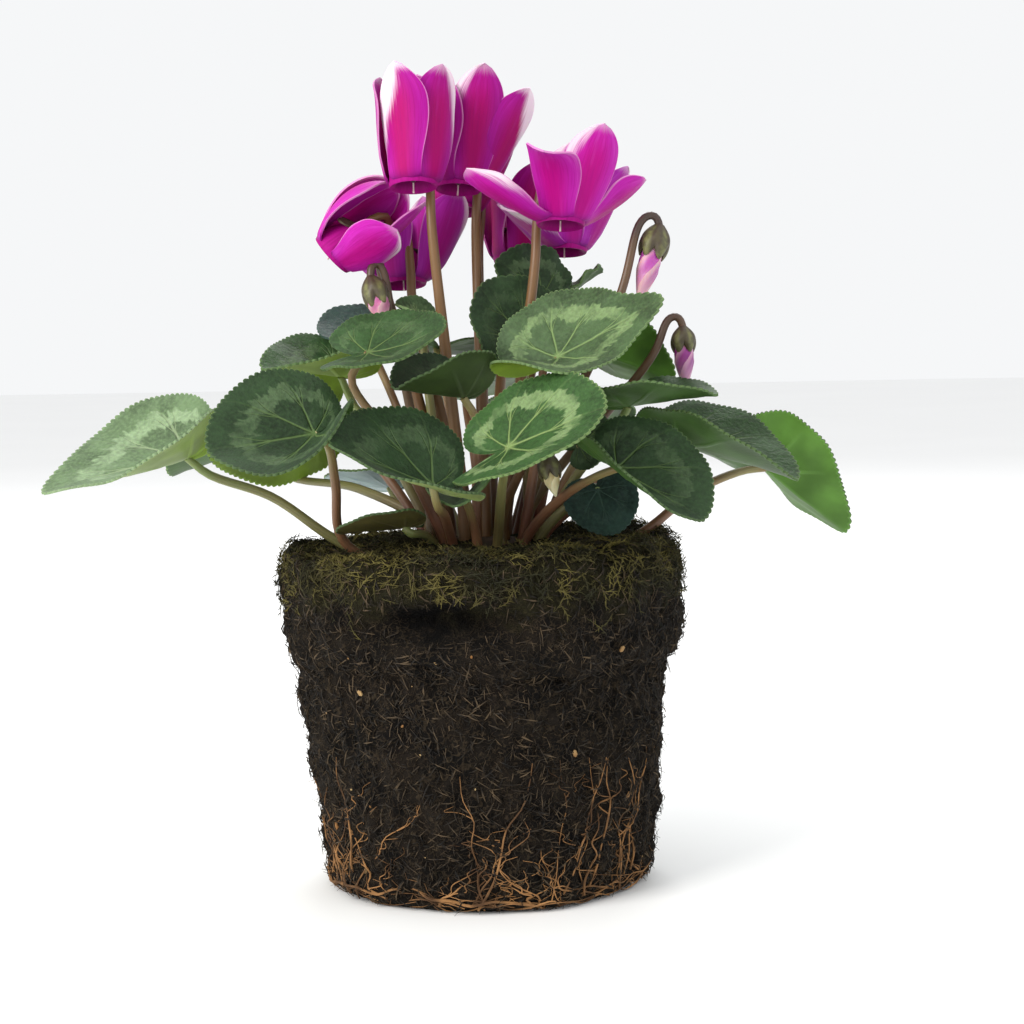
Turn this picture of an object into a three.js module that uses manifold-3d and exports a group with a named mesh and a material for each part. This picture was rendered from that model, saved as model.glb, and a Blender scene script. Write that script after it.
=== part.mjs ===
// A mini cyclamen with its bare root ball, in millimetres, +Z up. The origin is the middle of the
// flat bottom of the ball, and the front of the plant faces -Y.

import * as THREE from 'three';
import { mergeVertices } from 'three/addons/utils/BufferGeometryUtils.js';
import Module from 'manifold-3d';

const wasm = await Module();
wasm.setup();

// Driving dimensions
const gap = 0.3;
const ballHeight = 83;
const bottomRadius = 39.5;
const underCollarRadius = 44.2;
const collarRadius = 48.4;
const collarFoot = 56;
const crownHoleRadius = 17.5;
const tuberRadius = 20;
const tuberHalfHeight = 10.5;
const tuberMiddle = 74.5;
const bladeThickness = 0.7;
const leafStalkRadius = { foot: 1.35, tip: 0.95 };
const flowerStalkRadius = { foot: 1.6, tip: 1.0 };
const mouthRadius = 5.3;
const tubeHeight = 8;
const petalWidth = 14.5;
const petalThickness = 0.7;
const overlapTwist = 13;

const degrees = THREE.MathUtils.degToRad;
const up = new THREE.Vector3(0, 0, 1);
const vector = (place) => new THREE.Vector3(...place);
const group = new THREE.Group();

function addMesh(name, geometry, color, roughness) {
  const material = new THREE.MeshStandardMaterial({ color, roughness, metalness: 0 });
  const mesh = new THREE.Mesh(geometry, material);
  mesh.name = name;
  group.add(mesh);
}

// Solids that are joined or cut

function solidOf(geometry) {
  const bare = geometry.clone();
  bare.deleteAttribute('normal');
  bare.deleteAttribute('uv');
  const merged = mergeVertices(bare, 1e-4);
  const corners = merged.index.array;
  const faces = [];
  for (let i = 0; i < corners.length; i += 3) {
    const [a, b, c] = [corners[i], corners[i + 1], corners[i + 2]];
    if (a !== b && b !== c && c !== a) {
      faces.push(a, b, c);
    }
  }
  return new wasm.Manifold(new wasm.Mesh({
    numProp: 3,
    vertProperties: new Float32Array(merged.getAttribute('position').array),
    triVerts: new Uint32Array(faces),
  }));
}

function geometryOf(solid) {
  const mesh = solid.getMesh();
  const geometry = new THREE.BufferGeometry();
  geometry.setAttribute('position', new THREE.Float32BufferAttribute(mesh.vertProperties, 3));
  geometry.setIndex(Array.from(mesh.triVerts));
  geometry.computeVertexNormals();
  return geometry;
}

const joined = (solids) => solids.reduce((whole, solid) => whole.add(solid));

// A thin closed plate round a sheet of points, split alike on its two faces
function plateGeometry(points, triangles, rim, thickness) {
  const middle = new THREE.BufferGeometry().setFromPoints(points);
  middle.setIndex(triangles.flat());
  middle.computeVertexNormals();
  const normals = middle.getAttribute('normal');
  const count = points.length;
  const corners = [];
  for (const side of [thickness / 2, -thickness / 2]) {
    points.forEach((point, i) => {
      const offset = new THREE.Vector3().fromBufferAttribute(normals, i).multiplyScalar(side);
      corners.push(point.clone().add(offset));
    });
  }
  const faces = triangles.flatMap(([a, b, c]) => [a, b, c, a + count, c + count, b + count]);
  rim.forEach((a, i) => {
    const b = rim[(i + 1) % rim.length];
    faces.push(b, a, a + count, b, a + count, b + count);
  });
  const plate = new THREE.BufferGeometry().setFromPoints(corners);
  plate.setIndex(faces);
  plate.computeVertexNormals();
  return plate;
}

// A round stalk along a curve, thinner towards its tip
function stalkGeometry(curve, radius, sides, steps, grow = 0) {
  const frames = curve.computeFrenetFrames(steps, false);
  const corners = [];
  for (let i = 0; i <= steps; i++) {
    const middle = curve.getPointAt(i / steps);
    const size = THREE.MathUtils.lerp(radius.foot, radius.tip, i / steps) + grow;
    for (let k = 0; k < sides; k++) {
      const turn = (2 * Math.PI * k) / sides;
      const corner = middle.clone();
      corner.addScaledVector(frames.normals[i], size * Math.cos(turn));
      corner.addScaledVector(frames.binormals[i], size * Math.sin(turn));
      corners.push(corner);
    }
  }
  const faces = [];
  for (let i = 0; i < steps; i++) {
    for (let k = 0; k < sides; k++) {
      const [a, b] = [i * sides + k, i * sides + ((k + 1) % sides)];
      faces.push(a, b, b + sides, a, b + sides, a + sides);
    }
  }
  const last = steps * sides;
  for (let k = 1; k < sides - 1; k++) {
    faces.push(0, k + 1, k, last, last + k, last + k + 1);
  }
  const stalk = new THREE.BufferGeometry().setFromPoints(corners);
  stalk.setIndex(faces);
  stalk.computeVertexNormals();
  return stalk;
}

const smoothCurve = (points) => new THREE.CatmullRomCurve3(points, false, 'centripetal');

// The root ball keeps the shape of the pot: a flat bottom, a slight taper and a collar

const ballProfile = [
  [0, 0],
  [bottomRadius - 5, 0],
  [bottomRadius - 1.2, 1.8],
  [bottomRadius + 0.4, 6],
  [bottomRadius + 2, 22],
  [bottomRadius + 3.6, 38],
  [underCollarRadius, collarFoot - 3],
  [underCollarRadius + 0.4, collarFoot],
  [collarRadius - 1.4, collarFoot + 2],
  [collarRadius - 0.4, collarFoot + 8],
  [collarRadius, ballHeight - 8],
  [collarRadius - 1.6, ballHeight - 2.5],
  [collarRadius - 7, ballHeight - 0.5],
  [30, ballHeight],
  [14, ballHeight + 0.6],
  [0, ballHeight + 0.8],
];
const ballSegments = 32;
const dentTurn = degrees(247);
const dentHeight = 66;

// Lumps of the peat, and the hollow that is torn in the front of the collar
function ballLump(turn, height) {
  const broad = Math.sin(3 * turn + 0.08 * height) + Math.sin(5 * turn - 0.11 * height + 2);
  const fine = Math.sin(11 * turn + 0.31 * height + 1);
  const across = Math.atan2(Math.sin(turn - dentTurn), Math.cos(turn - dentTurn));
  const dent = Math.exp(-((across / 0.19) ** 2) - ((height - dentHeight) / 3.5) ** 2);
  return 0.55 * broad + 0.45 * fine - 3.2 * dent;
}

function ballGeometry() {
  const profile = ballProfile.map(([r, z]) => new THREE.Vector2(r, z));
  const ball = new THREE.LatheGeometry(profile, ballSegments).rotateX(Math.PI / 2);
  const place = ball.getAttribute('position');
  for (let i = 0; i < place.count; i++) {
    const [x, y, z] = [place.getX(i), place.getY(i), place.getZ(i)];
    const radius = Math.hypot(x, y);
    if (z < 1 || radius < 1) {
      continue;
    }
    const lump = ballLump(Math.atan2(y, x), z);
    const onTop = z > ballHeight - 1;
    const scale = onTop ? 1 : (radius + lump) / radius;
    const rise = onTop ? 0.05 * x * (radius / collarRadius) + 0.6 * lump : 0;
    place.setXYZ(i, x * scale, y * scale, z + rise);
  }
  return ball;
}

function ballRadiusAt(turn, height) {
  const side = ballProfile.findIndex(([, z], i) => i > 1 && z >= height);
  const [lower, upper] = [ballProfile[side - 1], ballProfile[side]];
  const share = (height - lower[1]) / (upper[1] - lower[1]);
  return THREE.MathUtils.lerp(lower[0], upper[0], share) + ballLump(turn, height);
}

// Leaves. Each blade sits on its stalk at seat and points to tip, and its upper side looks along
// face. foot is where the stalk leaves the crown. fold lifts the halves left and right of the
// midrib, in degrees, and back lifts them further towards the sinus. point draws the tip out.

const leaves = [
  { seat: [-70, -12, 106], tip: [-103, -22, 100.5], face: [0, -0.32, 0.94], foot: [-36, -4],
    fold: [22, 8], back: [70, 40], lobe: 0.35, cup: 0.03, droop: 0.04, wave: 0.03, point: 0.1 },
  { seat: [-38, -31, 112], tip: [-61.5, -41, 108.5], face: [0.15, -0.7, 0.7], foot: [-33, -11],
    fold: [20, 5], back: [110, 10], lobe: 0.7, cup: 0.08, droop: 0.02, wave: 0.03, point: 0 },
  { seat: [-42, 22, 113], tip: [-68.5, 15, 106], face: [-0.1, 0.66, 0.75], foot: [-14, 4],
    fold: [0, -4], back: [0, 0], lobe: 0.5, cup: 0.02, droop: 0.06, wave: 0.05, point: 0 },
  { seat: [-34, 8, 124], tip: [-52, -4, 127.5], face: [0, -0.4, 0.9], foot: [-12, 0],
    fold: [54, 12], back: [0, 40], lobe: 0.7, cup: 0.03, droop: 0.03, wave: 0.05, point: 0.06 },
  { seat: [-25.5, -24, 130.3], tip: [-6, -29, 132], face: [-0.1, -0.5, 0.85], foot: [-9, -11],
    fold: [4, 20], back: [30, 0], lobe: 1.2, cup: 0.04, droop: -0.26, wave: 0.05, point: 0.06 },
  { seat: [-29, 16, 134], tip: [-38, 24, 139], face: [-0.2, -0.3, 0.9], foot: [-11, 6],
    fold: [10, 10], back: [0, 0], lobe: 1, cup: 0.1, droop: 0.05, wave: 0.04, point: 0 },
  { seat: [-18, -20, 89], tip: [-34, -22, 88], face: [0, 0.3, 0.95], foot: [-12, -12],
    fold: [10, 20], back: [0, 0], lobe: 0.6, cup: 0.02, droop: 0, wave: 0.02, point: 0 },
  { seat: [-3.5, -19, 119.5], tip: [-19, -31, 122], face: [0, 0, 1], foot: [-1, -12],
    fold: [62, 58], back: [-20, -20], lobe: 0.3, cup: 0.02, droop: 0.02, wave: 0.04, point: 0 },
  { seat: [-10.5, -38, 100], tip: [-33.5, -50, 110], face: [0.34, -0.32, 0.88], foot: [-7, -14],
    fold: [28, 30], back: [0, 10], lobe: 0.45, cup: 0.04, droop: 0.02, wave: 0.03, point: 0 },
  { seat: [7, -42, 108.7], tip: [29.2, -52.5, 118], face: [-0.28, -0.56, 0.79], foot: [4, -14],
    fold: [12, 26], back: [0, -12], lobe: 1.15, cup: 0.02, droop: 0.02, wave: 0.03, point: 0 },
  { seat: [19, -20, 128.4], tip: [43.8, -28, 141], face: [-0.4, -0.5, 0.77], foot: [10, -8],
    fold: [18, 0], back: [25, 95], lobe: 1.04, cup: 0.02, droop: -0.02, wave: 0.03, point: 0.18 },
  { seat: [-3.5, -23, 96.5], tip: [-6, -35, 94.5], face: [0, 0, 1], foot: [-1, -15],
    fold: [46, 28], back: [0, 0], lobe: 0.8, cup: 0.05, droop: 0.02, wave: 0.04, point: 0 },
  { seat: [11, 3, 133], tip: [0, -2, 145], face: [0.3, -0.9, 0.3], foot: [11, 5],
    fold: [10, 10], back: [0, 0], lobe: 0.8, cup: 0.06, droop: 0, wave: 0.06, point: 0 },
  { seat: [16, 13, 143], tip: [5, 9, 152], face: [0.3, -0.9, 0.4], foot: [12.5, 8],
    fold: [16, 10], back: [0, 0], lobe: 0.9, cup: 0.06, droop: 0, wave: 0.06, point: 0 },
  { seat: [23, 24, 143], tip: [31, 29, 149], face: [-0.3, 0.1, 0.95], foot: [9, 11],
    fold: [14, 14], back: [0, 0], lobe: 1, cup: 0.05, droop: 0, wave: 0.05, point: 0 },
  { seat: [-13, -1, 136], tip: [-20, -5, 141], face: [0.3, -0.4, 0.9], foot: [-9, -3.5],
    fold: [34, 34], back: [0, 0], lobe: 0.6, cup: 0.1, droop: 0, wave: 0.04, point: 0 },
  { seat: [32, -32, 103], tip: [51, -42, 91], face: [0.48, -0.54, 0.69], foot: [11, -10],
    fold: [30, 42], back: [0, 0], lobe: 1, cup: 0.03, droop: 0.02, wave: 0.03, point: 0 },
  { seat: [29, 6, 129], tip: [48, 10, 122], face: [0.2, 0.75, 0.6], foot: [13, 7],
    fold: [40, 5], back: [0, 0], lobe: 0.5, cup: 0.03, droop: 0.03, wave: 0.04, point: 0.1 },
  { seat: [35.5, -15.5, 116.5], tip: [55.5, -23.5, 120], face: [0, -0.05, 1], foot: [14.5, -6.5],
    fold: [18, 25], back: [0, 0], lobe: 0.6, cup: 0.03, droop: 0.03, wave: 0.04, point: 0 },
  { seat: [49, -4, 106], tip: [76, -14, 99.5], face: [0.27, -0.1, 0.95], foot: [15.5, -0.5],
    fold: [34, 34], back: [0, 0], lobe: 0.8, cup: 0.02, droop: 0.02, wave: 0.03, point: 0.06 },
  { seat: [71, 15, 99], tip: [90.5, 16, 81.5], face: [0.56, 0.47, 0.68], foot: [40, 2],
    fold: [34, 38], back: [0, 0], lobe: 1, cup: 0.02, droop: 0, wave: 0.06, point: 0.12 },
  { seat: [28, -15, 96.5], tip: [31, -21, 86], face: [0.1, -0.9, 0.45], foot: [14, -8.5],
    fold: [6, 6], back: [0, 0], lobe: 0.5, cup: 0.06, droop: 0, wave: 0.03, point: 0 },
  { seat: [24, -10, 107], tip: [31, -14, 113], face: [0.1, -0.8, 0.5], foot: [15, -4],
    fold: [8, 8], back: [0, 0], lobe: 1, cup: 0.05, droop: 0, wave: 0.04, point: 0 },
  { seat: [27, 38, 135], tip: [39, 46, 138], face: [0, 0.5, 0.85], foot: [8, 13],
    fold: [10, 10], back: [0, 0], lobe: 1, cup: 0.05, droop: 0.05, wave: 0.04, point: 0 },
  { seat: [-24, 38, 94], tip: [-40, 48, 94], face: [0, 0.3, 0.95], foot: [-9, 12],
    fold: [10, 10], back: [0, 0], lobe: 0.9, cup: 0.04, droop: 0.05, wave: 0.04, point: 0 },
  { seat: [19, 44, 111], tip: [25, 70, 104], face: [0.1, 0.3, 0.9], foot: [8, 13],
    fold: [12, 12], back: [0, 0], lobe: 0.9, cup: 0.04, droop: 0.06, wave: 0.04, point: 0 },
  { seat: [-4, 51, 121], tip: [-4, 76, 115], face: [0, 0.3, 0.9], foot: [0, 14],
    fold: [14, 14], back: [0, 0], lobe: 0.8, cup: 0.04, droop: 0.08, wave: 0.04, point: 0 },
  { seat: [-23, 45, 110], tip: [-37, 67, 105], face: [-0.2, 0.3, 0.9], foot: [-6, 13],
    fold: [12, 20], back: [0, 0], lobe: 0.9, cup: 0.04, droop: 0.06, wave: 0.04, point: 0 },
  { seat: [49, 36, 105], tip: [69, 52, 98], face: [0.3, 0.3, 0.9], foot: [13, 6],
    fold: [16, 16], back: [0, 0], lobe: 0.9, cup: 0.04, droop: 0.06, wave: 0.04, point: 0 },
  { seat: [-11, 32, 130], tip: [-17, 54, 127], face: [0, 0.3, 0.9], foot: [-3, 12],
    fold: [12, 12], back: [0, 0], lobe: 0.9, cup: 0.05, droop: 0.08, wave: 0.04, point: 0 },
  { seat: [-58, 42, 104], tip: [-82, 50, 99], face: [-0.2, 0.2, 0.95], foot: [-12, 10],
    fold: [16, 16], back: [0, 0], lobe: 0.9, cup: 0.04, droop: 0.06, wave: 0.04, point: 0 },
];

// The heart-shaped outline, as the distance from the seat against the turn from the midrib
function bladeOutline(leaf, turn) {
  const fromSinus = Math.PI - Math.abs(turn);
  const drawn = (0.08 + 1.2 * leaf.point) * Math.exp(-((turn / (0.4 - 0.6 * leaf.point)) ** 2));
  const body = 0.7 - 0.4 * leaf.point + (0.22 - 0.8 * leaf.point) * Math.cos(turn) + drawn;
  const behind = Math.min(0, Math.cos(turn)) ** 2;
  const sinus = 1 - 0.85 * Math.exp(-((fromSinus / 0.3) ** 2));
  return body * (1 - (1 - leaf.lobe) * behind) * sinus;
}

// The seat, the directions along, across and out of the blade, and its span
function bladeFrame(leaf) {
  const seat = vector(leaf.seat);
  const along = vector(leaf.tip).sub(seat);
  const span = along.length();
  along.normalize();
  const out = vector(leaf.face);
  out.addScaledVector(along, -out.dot(along)).normalize();
  const across = new THREE.Vector3().crossVectors(out, along);
  return { seat, span, along, across, out };
}

function bladePoint(leaf, frame, turn, reach, notch) {
  const radius = bladeOutline(leaf, turn) * (1 + notch) * reach;
  const x = radius * Math.cos(turn);
  const y = radius * Math.sin(turn);
  const side = Math.abs(y);
  const half = y > 0 ? 0 : 1;
  const behind = ((1 - Math.cos(turn)) / 2) ** 1.5;
  const lifted = leaf.fold[half] * (1 - 0.3 * Math.cos(turn)) + leaf.back[half] * behind;
  const fold = degrees(lifted) * (side / (side + 0.08));
  const ripple = leaf.wave * radius ** 2 * Math.sin(3 * turn + leaf.seat[0]);
  const height = side * Math.sin(fold) + leaf.cup * radius ** 2 - leaf.droop * x * Math.abs(x) + ripple;
  return frame.seat.clone()
    .addScaledVector(frame.along, x * frame.span)
    .addScaledVector(frame.across, y * Math.cos(fold) * frame.span)
    .addScaledVector(frame.out, height * frame.span);
}

const innerRing = 0.52;
const tooth = { out: 0.012, in: -0.028 };
const wideSpan = 21;

function bladeGeometry(leaf) {
  const frame = bladeFrame(leaf);
  const outer = frame.span > wideSpan ? 24 : 16;
  const inner = outer / 2;
  const turnOf = (k, count) => Math.PI * (((2 * k) / count + 1) % 2 - 1);
  const points = [frame.seat.clone()];
  for (let j = 0; j < inner; j++) {
    points.push(bladePoint(leaf, frame, turnOf(j, inner), innerRing, 0));
  }
  for (let k = 0; k < outer; k++) {
    points.push(bladePoint(leaf, frame, turnOf(k, outer), 1, k % 2 ? tooth.in : tooth.out));
  }
  const triangles = [];
  for (let j = 0; j < inner; j++) {
    const [a, b] = [1 + j, 1 + ((j + 1) % inner)];
    const edge = [0, 1, 2].map((step) => 1 + inner + ((2 * j + step) % outer));
    triangles.push([0, a, b], [a, edge[0], edge[1]], [a, edge[1], b], [b, edge[1], edge[2]]);
  }
  const rim = Array.from({ length: outer }, (_, k) => 1 + inner + k);
  return plateGeometry(points, triangles, rim, bladeThickness);
}

const leafStalkSides = 4;
const leafStalkSteps = 5;
const arriveAlong = 0.65;
const arriveOut = 0.75;
const approachShare = 0.18;
const stalkArch = 0.06;

// The route of a leaf stalk: out of the tuber, up past its foot, and to the seat from behind
function leafStalkCurve(leaf) {
  const frame = bladeFrame(leaf);
  const foot = new THREE.Vector3(leaf.foot[0], leaf.foot[1], ballHeight + 2);
  const arrival = frame.along.clone().multiplyScalar(arriveAlong).addScaledVector(frame.out, arriveOut);
  arrival.normalize();
  const tilt = Math.sqrt(1 - arrival.dot(frame.out) ** 2);
  const below = bladeThickness / 2 + gap + leafStalkRadius.tip * tilt;
  const end = frame.seat.clone().addScaledVector(frame.out, -below);
  const reach = end.distanceTo(foot);
  const approach = end.clone().addScaledVector(arrival, -approachShare * reach);
  const middle = foot.clone().lerp(approach, 0.5).addScaledVector(up, stalkArch * reach);
  const footReach = Math.hypot(...leaf.foot);
  const inward = Math.min(0.62, (0.72 * tuberRadius) / footReach);
  const start = new THREE.Vector3(inward * leaf.foot[0], inward * leaf.foot[1], tuberMiddle - 2);
  return smoothCurve([start, foot, middle, approach, end]);
}

leaves.forEach((leaf, i) => {
  const number = String(i + 1).padStart(2, '0');
  addMesh(`leaf_blade_${number}`, bladeGeometry(leaf), 0x3c6a3a, 0.55);
});

// Flowers. mouth is the middle of the ring from which the petals turn back, and axis the way that
// they point. stalkSide is the turn at which the stalk passes, and hookFrom the height over the
// mouth where its hook begins. Each petal has its turn round the axis, its opening from the axis,
// the curl of its tip and its twist, all in degrees, and how far it is stretched where that shows.

const flowers = [
  { mouth: [-14.4, -14, 169], axis: [-0.02, 0.26, 1], stalkSide: 65, foot: [-4, -5], length: 28.5,
    petals: [[252, 7, 1, 0], [322, 8, 0, 0], [162, 3, 0, 0], [80, 4, -1, 0, 1.08], [24, 5, -1, 0]] },
  { mouth: [-4.3, 6, 169], axis: [0.06, 0.26, 1], stalkSide: 58, foot: [1, -2], length: 28.5,
    petals: [[298, 8, 1, 6, 1.05], [350, 28, -4, 20], [226, 5, 0, 0], [160, 5, 0, 0], [82, 20, -1, 0]] },
  { mouth: [-5.2, 30, 164.5], axis: [0.1, 0.3, 1], stalkSide: 44, foot: [1, 3.5], length: 27,
    petals: [[280, 8, 0, 0], [350, 20, -3, 10], [208, 6, 0, 0], [138, 8, 0, 0], [66, 10, 0, 0]] },
  { mouth: [-35, 0, 153.5], axis: [0.72, -0.1, 0.62], stalkSide: 40, foot: [-8, 3], length: 26,
    hookFrom: 2,
    petals: [[190, 20, -22, 6], [130, 15, -20, 8], [306, 24, -4, -8, 0.7], [20, 8, -6, 8], [75, 8, -14, -8]] },
  { mouth: [-18.5, 18, 146], axis: [-0.05, 0.24, 1], stalkSide: 285, foot: [-3.5, 1.5], length: 25,
    petals: [[246, 10, -1, 8], [178, 44, -10, 0], [120, 16, -4, 8], [50, 13, -4, -8], [338, 34, -6, 18]] },
  { mouth: [20.2, -10, 159.5], axis: [0.05, 0.24, 1], stalkSide: 130, foot: [5.5, -4], length: 26,
    petals: [[215, 80, -8, -14, 0.95], [260, 44, 16, 4], [312, 22, -1, 10, 0.93], [20, 55, -4, 8, 0.85],
      [82, 18, 0, 8]] },
  { mouth: [21.8, 24, 153.5], axis: [0.02, 0.22, 1], stalkSide: 122, foot: [6, 5.5], length: 24,
    petals: [[190, 48, -5, 10], [236, 76, 0, 8], [292, 6, 0, 8], [344, 30, -2, -8], [60, 22, 0, 8]] },
  { mouth: [9.5, 44, 151], axis: [0.15, 0.3, 0.95], stalkSide: 95, foot: [2, 8.5], length: 26,
    petals: [[205, 12, 0, 8], [140, 14, 0, 8], [285, 12, 0, -8], [350, 22, 0, 8], [60, 24, 0, 8]] },
];

const calyxHeight = 9.6;
const hookRoute = [[8.8, -7], [8.7, 1], [7.9, 9], [5.4, 14.6], [2, 15.8], [0.2, 13.4], [0, calyxHeight]];

function flowerFrame(flower) {
  const axis = vector(flower.axis).normalize();
  const back = new THREE.Vector3(0, 1, 0).addScaledVector(axis, -axis.y).normalize();
  const right = new THREE.Vector3().crossVectors(back, axis);
  return new THREE.Matrix4().makeBasis(right, back, axis).setPosition(vector(flower.mouth));
}

// The ringed tube that the petals grow from, open at the mouth and round the ovary
function tubeGeometry() {
  const profile = [[4.4, 0], [mouthRadius, 0.3], [5, 3.5], [3.4, 7.5], [2.1, tubeHeight], [3.8, 5]];
  const points = [...profile, profile[0]].map(([r, z]) => new THREE.Vector2(r, z));
  return new THREE.LatheGeometry(points, 8).rotateX(Math.PI / 2);
}

// The width of a petal along its length, as a share of its greatest width
const widestAt = 0.58;
const baseWidth = 0.44;
const tipRoundness = 0.93;

function petalShape(share) {
  if (share < widestAt) {
    return baseWidth + (1 - baseWidth) * Math.sin((Math.PI / 2) * (share / widestAt)) ** 2;
  }
  return Math.cos((Math.PI / 2) * tipRoundness * ((share - widestAt) / (1 - widestAt)) ** 1.5);
}

const petalRows = [0, 0.15, 0.4, 0.7, 1];
const petalSteps = 60;
const mouthLean = 110;
const mouthBend = 0.035;
const petalHollow = 9;

// A petal leaves the mouth outwards, turns back within its first millimetres, and curls to its tip
function petalGeometry([turn, opening, curl, twist, stretch = 1], length) {
  const outward = new THREE.Vector3(Math.cos(degrees(turn)), Math.sin(degrees(turn)), 0);
  const sideways = new THREE.Vector3(-outward.y, outward.x, 0);
  const points = [];
  const middle = outward.clone().multiplyScalar(mouthRadius - 0.6);
  middle.z = 0.5;
  for (let i = 0; i <= petalSteps; i++) {
    const share = i / petalSteps;
    const start = (mouthLean - opening) * Math.exp(-share / mouthBend);
    const lean = degrees(opening + 4 * curl * share ** 2 + start);
    const forward = outward.clone().multiplyScalar(Math.sin(lean)).addScaledVector(up, Math.cos(lean));
    const outer = outward.clone().multiplyScalar(Math.cos(lean)).addScaledVector(up, -Math.sin(lean));
    if (petalRows.some((row) => Math.abs(row - share) < 0.5 / petalSteps)) {
      const half = (petalWidth / 2) * petalShape(share);
      const turned = degrees(overlapTwist * Math.min(1, 4 * share) + twist * share);
      const [shareWide, shareDeep] = [Math.cos(turned), Math.sin(turned)];
      const wide = sideways.clone().multiplyScalar(shareWide).addScaledVector(outer, shareDeep);
      const deep = outer.clone().multiplyScalar(shareWide).addScaledVector(sideways, -shareDeep);
      for (const side of [-1, 0, 1]) {
        const arc = (side * half) / petalHollow;
        points.push(middle.clone()
          .addScaledVector(wide, petalHollow * Math.sin(arc))
          .addScaledVector(deep, -petalHollow * (1 - Math.cos(arc))));
      }
    }
    middle.addScaledVector(forward, (stretch * length) / petalSteps);
  }
  const triangles = [];
  for (let row = 0; row < petalRows.length - 1; row++) {
    for (let column = 0; column < 2; column++) {
      const a = 3 * row + column;
      triangles.push([a, a + 1, a + 4], [a, a + 4, a + 3]);
    }
  }
  const last = 3 * (petalRows.length - 1);
  const rim = [0, 1, 2];
  for (let row = 1; row < petalRows.length; row++) {
    rim.push(3 * row + 2);
  }
  rim.push(last + 1);
  for (let row = petalRows.length - 1; row > 0; row--) {
    rim.push(3 * row);
  }
  return plateGeometry(points, triangles, rim, petalThickness);
}

const sepalTip = { radius: 5.8, height: 7.4 };
const sepalNotch = { radius: 3.9, height: 8.6 };
const sepalRim = 10;

// Five sepals spread over the shoulder of the tube
function calyxGeometry() {
  const points = [new THREE.Vector3(0, 0, calyxHeight)];
  const triangles = [];
  const rim = [];
  for (let k = 0; k < sepalRim; k++) {
    const turn = (2 * Math.PI * k) / sepalRim;
    const { radius, height } = k % 2 ? sepalNotch : sepalTip;
    points.push(new THREE.Vector3(radius * Math.cos(turn), radius * Math.sin(turn), height));
    triangles.push([0, 1 + k, 1 + ((k + 1) % sepalRim)]);
    rim.push(1 + k);
  }
  return plateGeometry(points, triangles, rim, petalThickness);
}

function pistilGeometry() {
  const profile = [[0, -1.4], [0.45, -1.4], [0.4, 5.4], [1.5, 7], [0, calyxHeight]];
  const points = profile.map(([r, z]) => new THREE.Vector2(r, z));
  return new THREE.LatheGeometry(points, 4).rotateX(Math.PI / 2);
}

function flowerStalkCurve(flower) {
  const frame = flowerFrame(flower);
  const turn = degrees(flower.stalkSide);
  const route = hookRoute.filter(([, high]) => high > (flower.hookFrom ?? -Infinity));
  const hook = route.map(([out, high]) => (
    new THREE.Vector3(out * Math.cos(turn), out * Math.sin(turn), high).applyMatrix4(frame)
  ));
  const socket = new THREE.Vector3(flower.foot[0], flower.foot[1], tuberMiddle + 6);
  const foot = new THREE.Vector3(flower.foot[0], flower.foot[1], ballHeight + 6);
  const middle = foot.clone().lerp(hook[0], 0.5);
  return smoothCurve([socket, foot, middle, ...hook]);
}

const flowerStalkSides = 5;
const flowerStalkSteps = 13;
const flowerStalks = [];

flowers.forEach((flower, i) => {
  const frame = flowerFrame(flower);
  const curve = flowerStalkCurve(flower);
  const stalk = solidOf(stalkGeometry(curve, flowerStalkRadius, flowerStalkSides, flowerStalkSteps));
  const calyx = solidOf(calyxGeometry().applyMatrix4(frame));
  const pistil = solidOf(pistilGeometry().applyMatrix4(frame));
  flowerStalks.push(curve);
  const room = solidOf(stalkGeometry(curve, flowerStalkRadius, flowerStalkSides, flowerStalkSteps, gap));
  const petals = [tubeGeometry(), ...flower.petals.map((petal) => petalGeometry(petal, flower.length))];
  const corolla = joined(petals.map((piece) => solidOf(piece.applyMatrix4(frame)))).subtract(room);
  addMesh(`flower_${i + 1}_stalk`, geometryOf(joined([stalk, calyx, pistil])), 0x7a6b35, 0.5);
  addMesh(`flower_${i + 1}_petals`, geometryOf(corolla), 0xc2188f, 0.5);
});

// Buds. Each hangs from its hooked stalk: the calyx is a cup of five sepals, and the rolled petals
// stand in it. pass is a point that the stalk goes through on its way up.

const buds = [
  { foot: [-12, -6.5], pass: [-20, -5, 134], hook: [-23.5, -3, 151.5],
    calyx: [-24.6, -6, 145], tip: [-22.2, -8, 137], calyxSize: [3.3, 6.8], petalSize: [2.6, 1.2] },
  { foot: [10.5, -3], pass: [34.5, -8, 143], hook: [40.5, -4, 161.5],
    calyx: [43.2, -4, 155.8], tip: [38.8, -6, 141], calyxSize: [3.7, 7.3], petalSize: [2.7, 1.4] },
  { foot: [11, 1.5], pass: [43, -1, 129], hook: [46.5, 1, 137],
    calyx: [49.8, 0, 132], tip: [50.1, -1, 121], calyxSize: [3.1, 5.5], petalSize: [2.4, 1.8] },
  { foot: [5, -8.5], pass: [11, -19, 104], hook: [14, -21, 107.5],
    calyx: [16.2, -22, 103.3], tip: [17.9, -24, 95.8], calyxSize: [2.8, 5.8], petalSize: [1.9, 0.5] },
];
const sepalWall = 0.8;
const budSides = 10;

function budFrame(bud) {
  const down = vector(bud.tip).sub(vector(bud.calyx)).normalize();
  const side = new THREE.Vector3(0, 1, 0).addScaledVector(down, -down.y).normalize();
  const across = new THREE.Vector3().crossVectors(down, side);
  return new THREE.Matrix4().makeBasis(side, across, down).setPosition(vector(bud.calyx));
}

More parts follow.
